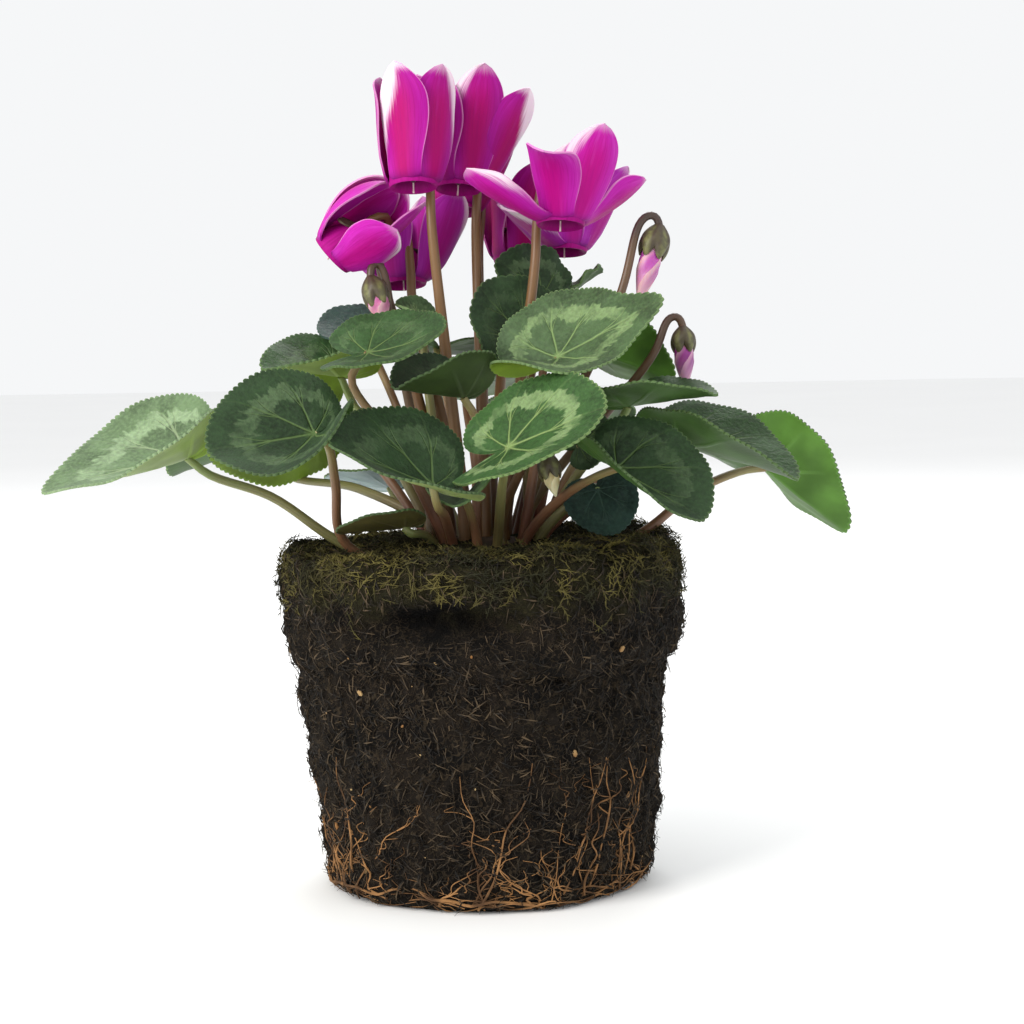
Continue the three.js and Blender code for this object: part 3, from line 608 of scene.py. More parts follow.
def layFlecks(draw):
    bpy.ops.object.select_all(action="DESELECT")
    bpy.ops.mesh.primitive_ico_sphere_add(subdivisions=1, radius=0.45 * mm)
    bit = bpy.context.object
    bpy.ops.object.mode_set(mode="EDIT")
    bpy.ops.transform.resize(value=(1.4, 0.9, 0.6))
    bpy.ops.mesh.subdivide(number_cuts=1, fractal=0.3, seed=3)
    bpy.ops.object.mode_set(mode="OBJECT")
    places = []
    for _ in range(litter["flecks"]):
        turn, share = draw.uniform(0, math.tau), draw.uniform(*litter["fleckShares"])
        heading, size = draw.uniform(0, 6), draw.choice((0.5, 0.6, 0.8, 1.6))
        places.append((0, lieOn(turn, share, heading, 0, size, 0.1)))
    flecks = scatterCopies("peatFlecks", [bit], places)
    flecks.data.materials.append(fibreMaterial("peatFleck", *litter["fleckColours"], 160.0))
    handOver(flecks, "peat")
    print("flecks:", len(places))


def makeLitter():
    draw = random.Random(7)
    layFibres("peatFibres", litter["fibreColours"], 5, draw)
    layFibres("coirFibres", litter["coirColours"], 7, draw)
    layMoss(draw)
    layFlecks(draw)


# The root mat: tan roots that climb the lower part and circle the bottom edge

rootMat = {
    "climbing": 54,
    # degrees round the ball, and how far each clump spreads
    "clumps": [
        (205, 16), (222, 14), (300, 24), (322, 18), (120, 30), (60, 30), (160, 30), (265, 20),
    ],
    "branches": 2,
    "circling": 9,
    "hairs": 130,
    "radius": (0.12, 0.3),
    "circlingRadius": (0.14, 0.38),
    "hairRadius": 0.11,
    "colours": ((0.075, 0.036, 0.014), (0.33, 0.165, 0.06)),
}


def shareAtHeight(height):
    steps = enumerate(profileSteps)
    return next(step for step, (radius, z, _) in steps if z >= height and radius > 20) / 1000


def onPeat(turn, height):
    place, slope = peatPoint(turn, shareAtHeight(max(0.9, height)))
    return place, slope.normalized()


def rootPath(turn, height, lean, reach, draw):
    corners = []
    for k in range(7):
        share = k / 6
        at = turn + math.radians(lean * share + draw.gauss(0, 1.7))
        place, outwards = onPeat(at, height + reach * share)
        corners.append(place + outwards * draw.uniform(0.0, 0.7))
    return smoothPath(corners, 18, 6)


def circlingPath(first, sweep, number, draw):
    corners = []
    for step in range(int(sweep / 7)):
        at = math.radians(first + 7 * step)
        place, outwards = onPeat(at, 2.6 + 1.6 * math.sin(at * 2 + number) + draw.gauss(0, 1))
        corners.append(place + outwards * draw.uniform(0.1, 1.0))
    return corners


def tapered(thick, loss):
    return lambda share: thick * (1.1 - loss * share)


def makeRoots():
    draw = random.Random(21)
    strands = []
    clumps = rootMat["clumps"]
    for k in range(rootMat["climbing"]):
        middle, spread = clumps[k % len(clumps)]
        turn = math.radians(draw.gauss(middle, spread / 2))
        reach, lean = draw.uniform(5, 34), draw.gauss(0, 13)
        thick = draw.uniform(*rootMat["radius"])
        path = rootPath(turn, draw.uniform(0.8, 5), lean, reach, draw)
        strands.append(tubeAlong("root", path, tapered(thick, 0.7), 5))
        for _ in range(rootMat["branches"]):
            start = path[draw.randrange(4, 14)]
            at = math.atan2(start.y, start.x)
            aside, rise = draw.choice((-1, 1)) * draw.uniform(4, 12), draw.uniform(3, 10)
            twig = [start, *rootPath(at, start.z, aside, rise, draw)[2:]]
            strands.append(tubeAlong("root", twig, tapered(0.55 * thick, 0.7), 4))
    for k in range(rootMat["circling"]):
        corners = circlingPath(draw.uniform(0, 360), draw.uniform(60, 170), k, draw)
        thick = draw.uniform(*rootMat["circlingRadius"])
        path = smoothPath(corners, 3 * len(corners), 6)
        strands.append(tubeAlong("root", path, lambda s: thick * (1 - 0.5 * abs(2 * s - 1)), 5))
    for _ in range(rootMat["hairs"]):
        turn = draw.uniform(0, math.tau)
        path = rootPath(turn, draw.uniform(0.9, 3), draw.gauss(0, 16), draw.uniform(1, 9), draw)
        strands.append(tubeAlong("root", path[::3], tapered(rootMat["hairRadius"], 0.6), 3))
    roots = joinPieces("rootMat", strands)
    roots.data.materials.append(fibreMaterial("rootTan", *rootMat["colours"], 140.0))
    for corner in roots.data.vertices:
        corner.co.z = max(corner.co.z, 0.0004)
    smoothShade(roots)
    handOver(roots, "roots", "roots")
    print("roots:", len(strands), "strands")


# Leaves. seat, tip and foot in mm; face is where the upper side looks. fold lifts the two halves,
# back lifts them further towards the sinus, and point draws the tip out. look is the upper side,
# the underside and how strong the silver is.

leafShape = {
    "edge": 4.7,  # in lengths from the seat to the tip
    "toothEvery": 1.4,  # mm along the edge
    "toothOut": 0.01,
    "toothIn": -0.019,
    "rimFrom": 0.86,
    "rings": 9,
    "thickness": 0.55,
    "veinWidth": 0.035,
    "veinDip": 0.007,
    "quilt": 0.017,
    "veins": 8,
}
# what most leaves share
usualLeaf = {
    "back": (0, 0), "point": 0, "lobe": 0.9, "cup": 0.04, "droop": 0, "wave": 0.04, "crimp": 0.012,
}
leaves = [
    # left side
    {"seat": (-70, -12, 106), "tip": (-103, -22, 100.5), "face": (0, -0.32, 0.94),
     "foot": (-36, -4), "fold": (22, 8), "back": (70, 40), "point": 0.1, "lobe": 0.35, "cup": 0.03,
     "droop": 0.04, "wave": 0.03, "look": ("pale", "paintedBacklitLime", 1.0)},
    {"seat": (-38, -31, 112), "tip": (-61.5, -41, 108.5), "face": (0.15, -0.7, 0.7),
     "foot": (-33, -11), "fold": (20, 5), "back": (110, 10), "lobe": 0.7, "cup": 0.08,
     "droop": 0.02, "wave": 0.03, "look": ("dark", "green", 0.8)},
    {"seat": (-42, 22, 113), "tip": (-68.5, 15, 106), "face": (-0.1, 0.66, 0.75), "foot": (-14, 4),
     "fold": (0, -4), "lobe": 0.5, "cup": 0.02, "droop": 0.06, "wave": 0.05,
     "look": ("mid", "paintedBacklitLime", 0.4)},
    {"seat": (-34, 8, 124), "tip": (-52, -4, 127.5), "face": (0, -0.4, 0.9), "foot": (-12, 0),
     "fold": (54, 12), "back": (0, 40), "point": 0.06, "lobe": 0.7, "cup": 0.03, "droop": 0.03,
     "wave": 0.05, "look": ("mid", "paintedBacklitLime", 0.6)},
    {"seat": (-25.5, -24, 130.3), "tip": (-6, -29, 132), "face": (-0.1, -0.5, 0.85),
     "foot": (-9, -11), "fold": (4, 20), "back": (30, 0), "point": 0.06, "lobe": 1.2,
     "droop": -0.26, "wave": 0.05, "look": ("mid", "green", 0.5)},
    {"seat": (-29, 16, 134), "tip": (-38, 24, 139), "face": (-0.2, -0.3, 0.9), "foot": (-11, 6),
     "fold": (10, 10), "lobe": 1, "cup": 0.1, "droop": 0.05, "look": ("paintedSkyBlue", "paintedSkyBlue", 0.3)},
    {"seat": (-18, -20, 89), "tip": (-34, -22, 88), "face": (0, 0.3, 0.95), "foot": (-12, -12),
     "fold": (10, 20), "lobe": 0.6, "cup": 0.02, "wave": 0.02, "look": ("dark", "brown", 0.2)},
    # middle
    {"seat": (-3.5, -19, 119.5), "tip": (-19, -31, 122), "face": (0, 0, 1), "foot": (-1, -12),
     "fold": (62, 58), "back": (-20, -20), "lobe": 0.3, "cup": 0.02, "droop": 0.02,
     "look": ("dark", "olive", 0.3)},
    {"seat": (-10.5, -38, 100), "tip": (-33.5, -50, 110), "face": (0.34, -0.32, 0.88),
     "foot": (-7, -14), "fold": (28, 30), "back": (0, 10), "lobe": 0.45, "droop": 0.02,
     "wave": 0.03, "look": ("dark", "matt", 0.5)},
    {"seat": (7, -42, 108.7), "tip": (29.2, -52.5, 118), "face": (-0.28, -0.56, 0.79),
     "foot": (4, -14), "fold": (12, 26), "back": (0, -12), "lobe": 1.15, "cup": 0.02, "droop": 0.02,
     "wave": 0.03, "look": ("fresh", "green", 1.0)},
    {"seat": (19, -20, 128.4), "tip": (43.8, -28, 141), "face": (-0.4, -0.5, 0.77),
     "foot": (10, -8), "fold": (18, 0), "back": (25, 95), "point": 0.18, "lobe": 1.04, "cup": 0.02,
     "droop": -0.02, "wave": 0.03, "look": ("grey", "paintedBacklitLime", 1.0)},
    {"seat": (-3.5, -23, 96.5), "tip": (-6, -35, 94.5), "face": (0, 0, 1), "foot": (-1, -15),
     "fold": (46, 28), "lobe": 0.8, "cup": 0.05, "droop": 0.02, "look": ("mid", "green", 0.3)},
    {"seat": (11, 3, 133), "tip": (0, -2, 145), "face": (0.3, -0.9, 0.3), "foot": (11, 5),
     "fold": (10, 10), "lobe": 0.8, "cup": 0.06, "wave": 0.06, "crimp": 0.05,
     "look": ("dark", "green", 0.3)},
    {"seat": (16, 13, 143), "tip": (5, 9, 152), "face": (0.3, -0.9, 0.4), "foot": (12.5, 8),
     "fold": (16, 10), "cup": 0.06, "wave": 0.06, "crimp": 0.07, "look": ("dark", "green", 0.8)},
    {"seat": (23, 24, 143), "tip": (31, 29, 149), "face": (-0.3, 0.1, 0.95), "foot": (9, 11),
     "fold": (14, 14), "lobe": 1, "cup": 0.05, "wave": 0.05, "crimp": 0.06,
     "look": ("mid", "green", 0.3)},
    {"seat": (-13, -1, 136), "tip": (-20, -5, 141), "face": (0.3, -0.4, 0.9), "foot": (-9, -3.5),
     "fold": (34, 34), "lobe": 0.6, "cup": 0.1, "look": ("grey", "green", 0.5)},
    # right side
    {"seat": (32, -32, 103), "tip": (51, -42, 91), "face": (0.48, -0.54, 0.69), "foot": (11, -10),
     "fold": (30, 42), "lobe": 1, "cup": 0.03, "droop": 0.02, "wave": 0.03,
     "look": ("dark", "green", 0.5)},
    {"seat": (29, 6, 129), "tip": (48, 10, 122), "face": (0.2, 0.75, 0.6), "foot": (13, 7),
     "fold": (40, 5), "point": 0.1, "lobe": 0.5, "cup": 0.03, "droop": 0.03,
     "look": ("mid", "paintedBacklitBright", 0.3)},
    {"seat": (35.5, -15.5, 116.5), "tip": (55.5, -23.5, 120), "face": (0, -0.05, 1),
     "foot": (14.5, -6.5), "fold": (18, 25), "lobe": 0.6, "cup": 0.03, "droop": 0.03,
     "look": ("mid", "green", 0.5)},
    {"seat": (49, -4, 106), "tip": (76, -14, 99.5), "face": (0.27, -0.1, 0.95),
     "foot": (15.5, -0.5), "fold": (34, 34), "point": 0.06, "lobe": 0.8, "cup": 0.02, "droop": 0.02,
     "wave": 0.03, "look": ("mid", "green", 0.0)},
    {"seat": (71, 15, 99), "tip": (90.5, 16, 81.5), "face": (0.56, 0.47, 0.68), "foot": (40, 2),
     "fold": (34, 38), "point": 0.12, "lobe": 1, "cup": 0.02, "wave": 0.06,
     "look": ("mid", "paintedBacklitBright", 0.5)},
    {"seat": (28, -15, 96.5), "tip": (31, -21, 86), "face": (0.1, -0.9, 0.45), "foot": (14, -8.5),
     "fold": (6, 6), "lobe": 0.5, "cup": 0.06, "wave": 0.03, "look": ("paintedSkyBlue", "paintedSkyBlue", 0.3)},
    {"seat": (24, -10, 107), "tip": (31, -14, 113), "face": (0.1, -0.8, 0.5), "foot": (15, -4),
     "fold": (8, 8), "lobe": 1, "cup": 0.05, "look": ("dark", "green", 0.3)},
    # back
    {"seat": (27, 38, 135), "tip": (39, 46, 138), "face": (0, 0.5, 0.85), "foot": (8, 13),
     "fold": (10, 10), "lobe": 1, "cup": 0.05, "droop": 0.05, "look": ("mid", "paintedBacklitBright", 0.3)},
    {"seat": (-24, 38, 94), "tip": (-40, 48, 94), "face": (0, 0.3, 0.95), "foot": (-9, 12),
     "fold": (10, 10), "droop": 0.05, "look": ("grey", "paintedSkyBlue", 0.8)},
    {"seat": (19, 44, 111), "tip": (25, 70, 104), "face": (0.1, 0.3, 0.9), "foot": (8, 13),
     "fold": (12, 12), "droop": 0.06, "look": ("grey", "green", 0.9)},
    {"seat": (-4, 51, 121), "tip": (-4, 76, 115), "face": (0, 0.3, 0.9), "foot": (0, 14),
     "fold": (14, 14), "lobe": 0.8, "droop": 0.08, "look": ("dark", "green", 0.9)},
    {"seat": (-23, 45, 110), "tip": (-37, 67, 105), "face": (-0.2, 0.3, 0.9), "foot": (-6, 13),
     "fold": (12, 20), "droop": 0.06, "look": ("grey", "green", 1.0)},
    {"seat": (49, 36, 105), "tip": (69, 52, 98), "face": (0.3, 0.3, 0.9), "foot": (13, 6),
     "fold": (16, 16), "droop": 0.06, "look": ("fresh", "green", 0.9)},
    {"seat": (-11, 32, 130), "tip": (-17, 54, 127), "face": (0, 0.3, 0.9), "foot": (-3, 12),
     "fold": (12, 12), "cup": 0.05, "droop": 0.08, "look": ("dark", "green", 0.8)},
    {"seat": (-58, 42, 104), "tip": (-82, 50, 99), "face": (-0.2, 0.2, 0.95), "foot": (-12, 10),
     "fold": (16, 16), "droop": 0.06, "look": ("grey", "green", 0.9)},
]
leaves = [{**usualLeaf, **leaf} for leaf in leaves]
# field, silver band and veins of the upper side
topColours = {
    "dark": ((0.017, 0.038, 0.013), (0.082, 0.135, 0.06), (0.1, 0.165, 0.05)),
    "mid": ((0.024, 0.058, 0.016), (0.1, 0.17, 0.068), (0.13, 0.2, 0.06)),
    "grey": ((0.05, 0.09, 0.035), (0.19, 0.29, 0.12), (0.22, 0.33, 0.12)),
    "pale": ((0.1, 0.155, 0.075), (0.27, 0.38, 0.21), (0.29, 0.38, 0.21)),
    "fresh": ((0.03, 0.075, 0.019), (0.2, 0.3, 0.125), (0.25, 0.35, 0.12)),
    # the blue field is a painted reflection of the sky on a leaf's upper side
    "paintedSkyBlue": ((0.02, 0.042, 0.034), (0.05, 0.085, 0.07), (0.06, 0.11, 0.085)),
}
# underside colours: lime and bright are painted light, the yellow-green glow of light shining
# through a blade from behind; olive is painted shade on blades deep inside the plant
undersideColours = {
    "paintedBacklitLime": (0.17, 0.27, 0.03),
    "green": (0.052, 0.115, 0.025),
    "paintedBacklitBright": (0.1, 0.23, 0.035),
    "olive": (0.045, 0.075, 0.022),
    "matt": (0.17, 0.22, 0.07),
    "brown": (0.09, 0.08, 0.025),
    # the blue underside is a painted reflection of the sky
    "paintedSkyBlue": (0.2, 0.3, 0.29),
}


def bladeFrame(leaf):
    seat = Vector(leaf["seat"])
    along = Vector(leaf["tip"]) - seat
    span = along.length
    along.normalize()
    out = Vector(leaf["face"])
    out = (out - along * out.dot(along)).normalized()
    return seat, span, along, out.cross(along), out


def bladeOutline(leaf, turn):
    point = leaf["point"]
    fromSinus = math.pi - abs(turn)
    drawn = (0.08 + 1.2 * point) * math.exp(-(turn / (0.4 - 0.6 * point)) ** 2)
    body = 0.7 - 0.4 * point + (0.22 - 0.8 * point) * math.cos(turn) + drawn
    behind = min(0, math.cos(turn)) ** 2
    sinus = 1 - 0.85 * math.exp(-(fromSinus / 0.3) ** 2)
    return body * (1 - (1 - leaf["lobe"]) * behind) * sinus


def bladePoint(leaf, bladeAxes, turn, reach, teeth):
    seat, span, along, across, out = bladeAxes
    rim = min(max((reach - leafShape["rimFrom"]) / (1 - leafShape["rimFrom"]), 0), 1) ** 2
    bump = abs(math.cos(0.5 * teeth * turn)) ** 0.8
    tooth = mixBetween(leafShape["toothIn"], leafShape["toothOut"], bump) * rim
    radius = bladeOutline(leaf, turn) * (1 + tooth) * reach
    x, y = radius * math.cos(turn), radius * math.sin(turn)
    side = abs(y)
    half = 0 if y > 0 else 1
    behind = ((1 - math.cos(turn)) / 2) ** 1.5
    lifted = leaf["fold"][half] * (1 - 0.3 * math.cos(turn)) + leaf["back"][half] * behind
    fold = math.radians(lifted) * (side / (side + 0.08))
    height = side * math.sin(fold) + leaf["cup"] * radius ** 2 - leaf["droop"] * x * abs(x)
    height += leaf["wave"] * radius ** 2 * math.sin(3 * turn + leaf["seat"][0])
    # veins lie in shallow grooves, and the blade swells a little between them
    fromVein = math.remainder(turn, math.tau / leafShape["veins"]) * reach
    relief = min(1, 2.5 * reach) * (1.05 - reach)
    swelling = leafShape["quilt"] * math.cos(9 * turn + 16 * reach + leaf["seat"][1]) * reach
    groove = leafShape["veinDip"] * math.exp(-(fromVein / leafShape["veinWidth"]) ** 2)
    height += (swelling - groove) * relief
    height += leaf["crimp"] * reach ** 3 * math.sin(8 * turn + leaf["seat"][2])
    height -= 0.012 * rim
    return seat + along * (x * span) + across * (y * math.cos(fold) * span) + out * (height * span)


def fromVeins(add, around, v):
    # the distance to the nearest vein, as a share of one turn's part and across the blade
    count = leafShape["veins"]
    away = fromMiddle(add, calc(add, "MULTIPLY_ADD", around, float(count), 0.5))
    return away, product(add, away, math.tau / count, v)


def bladeMaterialTop(name, colours, silver):
    field, band, vein = colours
    add, finish = newMaterial(name, 0.6, 0.25, 0.08, (0.5, 1.0, 0.2), 0.001)
    uv, u, v = surfaceUv(add)
    # the silver band has a ragged edge: broad fingers, and feathering on them
    ragged = calc(add, "MULTIPLY_ADD", streaks(add, uv, 26.0, 2.5, 2.0, 7.0), 0.42, v)
    ragged = calc(add, "MULTIPLY_ADD", streaks(add, uv, 90.0, 6.0, 4.0), 0.18, ragged)
    inside = ramp(add, ragged, 0.84, 0.89)
    outside = ramp(add, ragged, 1.03, 1.07, 1.0, 0.0)
    blotches = ramp(add, objectNoise(add, 170.0, 4.0), 0.36, 0.56, 0.35, 1.0)
    silvery = product(add, inside, outside, product(add, blotches, silver))

    # veins run out from the seat, wander a little and fork half way
    bent = calc(add, "SINE", product(add, calc(add, "SUBTRACT", u, 0.5), math.tau))
    forward = product(add, bent, product(add, v, v), 0.035)
    wander = calc(add, "SUBTRACT", streaks(add, uv, 9.0, 5.0, 1.0, 3.0), 0.5)
    led = calc(add, "ADD", calc(add, "ADD", u, forward), product(add, wander, 0.02, v))
    away, aside = fromVeins(add, led, v)
    main = ramp(add, aside, 0.006, 0.024, 1.0, 0.0)
    main = product(add, main, ramp(add, v, 0.35, 0.85, 1.0, 0.1))
    parting = product(add, calc(add, "SUBTRACT", v, 0.36), 0.62)
    forked = calc(add, "ABSOLUTE", calc(add, "SUBTRACT", away, parting))
    forked = product(add, forked, product(add, v, math.tau / leafShape["veins"]))
    fork = product(add, ramp(add, forked, 0.002, 0.011, 1.0, 0.0), ramp(add, v, 0.36, 0.42))
    fork = product(add, fork, ramp(add, v, 0.5, 0.85, 0.75, 0.0))
    veins = calc(add, "MAXIMUM", main, fork)
    heart = ramp(add, v, 0.03, 0.12, 0.8, 0.0)

    cells = objectNoise(add, 1100.0, 3.0)
    cloudy = ramp(add, objectNoise(add, 120.0, 3.0), 0.3, 0.7)
    mottled = mixed(add, cloudy, toned(field, 0.66), toned(field, 1.3))
    celled = mixed(add, ramp(add, cells, 0.35, 0.7, 0.0, 0.45), mottled, toned(field, 1.9))
    bandColour = mixed(add, ramp(add, cells, 0.3, 0.7), toned(band, 0.72), band)
    banded = mixed(add, silvery, celled, bandColour)
    veined = mixed(add, calc(add, "MAXIMUM", product(add, veins, 0.75), heart), banded, vein)
    callus = product(add, ramp(add, v, 0.982, 0.996), 0.35)
    colour = mixed(add, callus, veined, toned(vein, 1.1, 0.02))
    relief = calc(add, "SUBTRACT", product(add, cells, 0.6), veins)
    relief = calc(add, "MULTIPLY_ADD", objectNoise(add, 420.0, 2.0), 0.9, relief)
    return finish(colour, relief, 0.8, 0.0004)


def bladeMaterialUnder(name, colour):
    add, finish = newMaterial(name, 0.5, 0.3, 0.15, (0.6, 1.0, 0.15), 0.001)
    u, v = surfaceUv(add)[1:]
    aside = fromVeins(add, u, v)[1]
    veins = product(add, ramp(add, aside, 0.01, 0.035, 1.0, 0.0), ramp(add, v, 0.3, 0.95, 0.7, 0.0))
    cloudy = ramp(add, objectNoise(add, 90.0, 3.0), 0.3, 0.72)
    tinted = mixed(add, cloudy, toned(colour, 0.72), toned(colour, 1.25))
    veined = mixed(add, product(add, veins, 0.6), tinted, toned(colour, 1.5, 0.03))
    edge = product(add, ramp(add, v, 0.97, 0.99), 0.5)
    edged = mixed(add, edge, veined, toned(colour, 1.4, 0.03))
    pores = product(add, objectNoise(add, 1500.0, 2.0), 0.3)
    return finish(edged, calc(add, "ADD", veins, pores), 0.4, 0.0003)


def makeLeaves():
    tops, unders = {}, {}
    for number, leaf in enumerate(leaves, 1):
        top, under, silver = leaf["look"]
        if (top, silver) not in tops:
            name = f"leafTop.{top}.{int(10 * silver)}"
            tops[top, silver] = bladeMaterialTop(name, topColours[top], silver)
        if under not in unders:
            unders[under] = bladeMaterialUnder(f"leafUnderside.{under}", undersideColours[under])
        bladeAxes = bladeFrame(leaf)
        teeth = round(leafShape["edge"] * bladeAxes[1] / leafShape["toothEvery"])

        def place(u, v):
            return bladePoint(leaf, bladeAxes, math.pi * (1 - 2 * u), v, teeth)

        name = f"leafBlade{number:02d}"
        blade = wrapGrid(name, 4 * teeth, leafShape["rings"], place, welded=True)
        blade.data.materials.append(tops[top, silver])
        blade.data.materials.append(unders[under])
        thicken(blade, leafShape["thickness"], underside=1)
        smoothShade(blade)
        handOver(blade, "leaf_blades", f"leaf_blade_{number:02d}")
    print("leaf blades:", len(leaves))


# The crown: the tuber and the leaf stalks that grow out of it

crown = {
    "tuberRadius": 20,
    "tuberHalfHeight": 10.5,
    "tuberMiddle": 74.5,
    "stalkFoot": 1.4,
    "stalkTip": 0.95,
    "stalkSteps": 26,
    "tuberColours": ((0.03, 0.018, 0.01), (0.1, 0.06, 0.035)),
    "reddish": ((0.15, 0.055, 0.035), (0.2, 0.1, 0.05), (0.24, 0.22, 0.08)),
    "greenish": ((0.14, 0.085, 0.035), (0.2, 0.19, 0.07), (0.2, 0.27, 0.08)),
}


def leafStalkPath(leaf):
    seat, _, along, _, out = bladeFrame(leaf)
    foot = Vector((*leaf["foot"], ball["height"] + 2))
    arrival = (along * 0.65 + out * 0.75).normalized()
    end = seat - out * 0.15
    reach = (end - foot).length
    approach = end - arrival * (0.18 * reach)
    middle = foot.lerp(approach, 0.5) + up * (0.06 * reach)
    inward = min(0.62, 0.72 * crown["tuberRadius"] / math.hypot(*leaf["foot"]))
    start = Vector((inward * leaf["foot"][0], inward * leaf["foot"][1], crown["tuberMiddle"] - 2))
    return smoothPath([start, foot, middle, approach, end], crown["stalkSteps"])


def stalkMaterial(name, footColour, midColour, tipColour):
    add, finish = newMaterial(name, 0.42, 0.45, 0.1, glowDepth=0.0008)
    uv, _, v = surfaceUv(add)
    lower = mixed(add, ramp(add, v, 0.2, 0.6), footColour, midColour)
    upper = mixed(add, ramp(add, v, 0.6, 0.95), lower, tipColour)
    blotched = mixed(add, ramp(add, objectNoise(add, 45.0, 2.0), 0.42, 0.62), upper, midColour)
    lines = streaks(add, uv, 14.0, 2.0, 2.0)
    dark = toned(footColour, 0.45)
    speckled = mixed(add, ramp(add, lines, 0.45, 0.75, 0.0, 0.4), blotched, dark)
    return finish(speckled, lines, 0.25, 0.0002)


def makeCrown():
    bpy.ops.object.select_all(action="DESELECT")
    radius = crown["tuberRadius"]
    bpy.ops.mesh.primitive_uv_sphere_add(segments=40, ring_count=20, radius=radius * mm)
    tuber = bpy.context.object
    for corner in tuber.data.vertices:
        corner.co.z *= crown["tuberHalfHeight"] / radius
        corner.co *= 1 + 0.03 * noise.noise(corner.co * 120)
        corner.co.z += crown["tuberMiddle"] * mm
    tuber.data.materials.append(fibreMaterial("tuberSkin", *crown["tuberColours"], 90.0))

    reddish = stalkMaterial("leafStalkReddish", *crown["reddish"])
    greenish = stalkMaterial("leafStalkGreenish", *crown["greenish"])
    stalks = []
    for number, leaf in enumerate(leaves):
        def radiusAt(share):
            thick = mixBetween(crown["stalkFoot"], crown["stalkTip"], share)
            return thick * (1 + 0.04 * math.sin(9 * share + number))

        stalk = tubeAlong("leafStalk", leafStalkPath(leaf), radiusAt, 12)
        stalk.data.materials.append(greenish if number % 3 == 0 else reddish)
        stalks.append(stalk)
    whole = joinPieces("crownWithLeafStalks", [tuber, *stalks])
    smoothShade(whole)
    handOver(whole, "leaf_stalks", "tuber_with_leaf_stalks")
    print("crown:", len(stalks), "leaf stalks")


# Open flowers. mouth is the middle of the ring from which the petals turn back, and axis the way
# that they point. Each petal has its turn, opening, curl and twist in degrees, how far it is
# stretched, and how white it is: a minus sign puts the white at its other edge.

corolla = {
    "mouthRadius": 5.3,
    "petalWidth": 14.5,
    "baseWidth": 0.56,
    "petalHollow": 9,
    "overlapTwist": 13,
    "thickness": 0.45,
    "across": 16,
    "along": 30,
    "calyxHeight": 9.6,
    "calyxRadius": (3.3, 6.3),  # between the sepals and at their points
    # radius and height along the axis
    "mouthRing": [(3.4, 5.2), (4.5, 0.6), (5.4, 0.0), (5.7, 1.0), (4.9, 4.5), (3.4, 8.2)],
    "stamens": [(0, 0.9), (0.6, 1.3), (1.3, 4), (1.9, 7), (0, 9)],
    "style": (-1.5, -1.3, 0, 2),
    "hook": [(8.8, -7), (8.7, 1), (7.9, 9), (5.4, 14.6), (2, 15.8), (0.2, 13.4), (0, 9)],
    "stalkRadius": (1.65, 0.95),
    "stalkColours": ((0.12, 0.055, 0.022), (0.165, 0.085, 0.03), (0.12, 0.045, 0.03)),
}
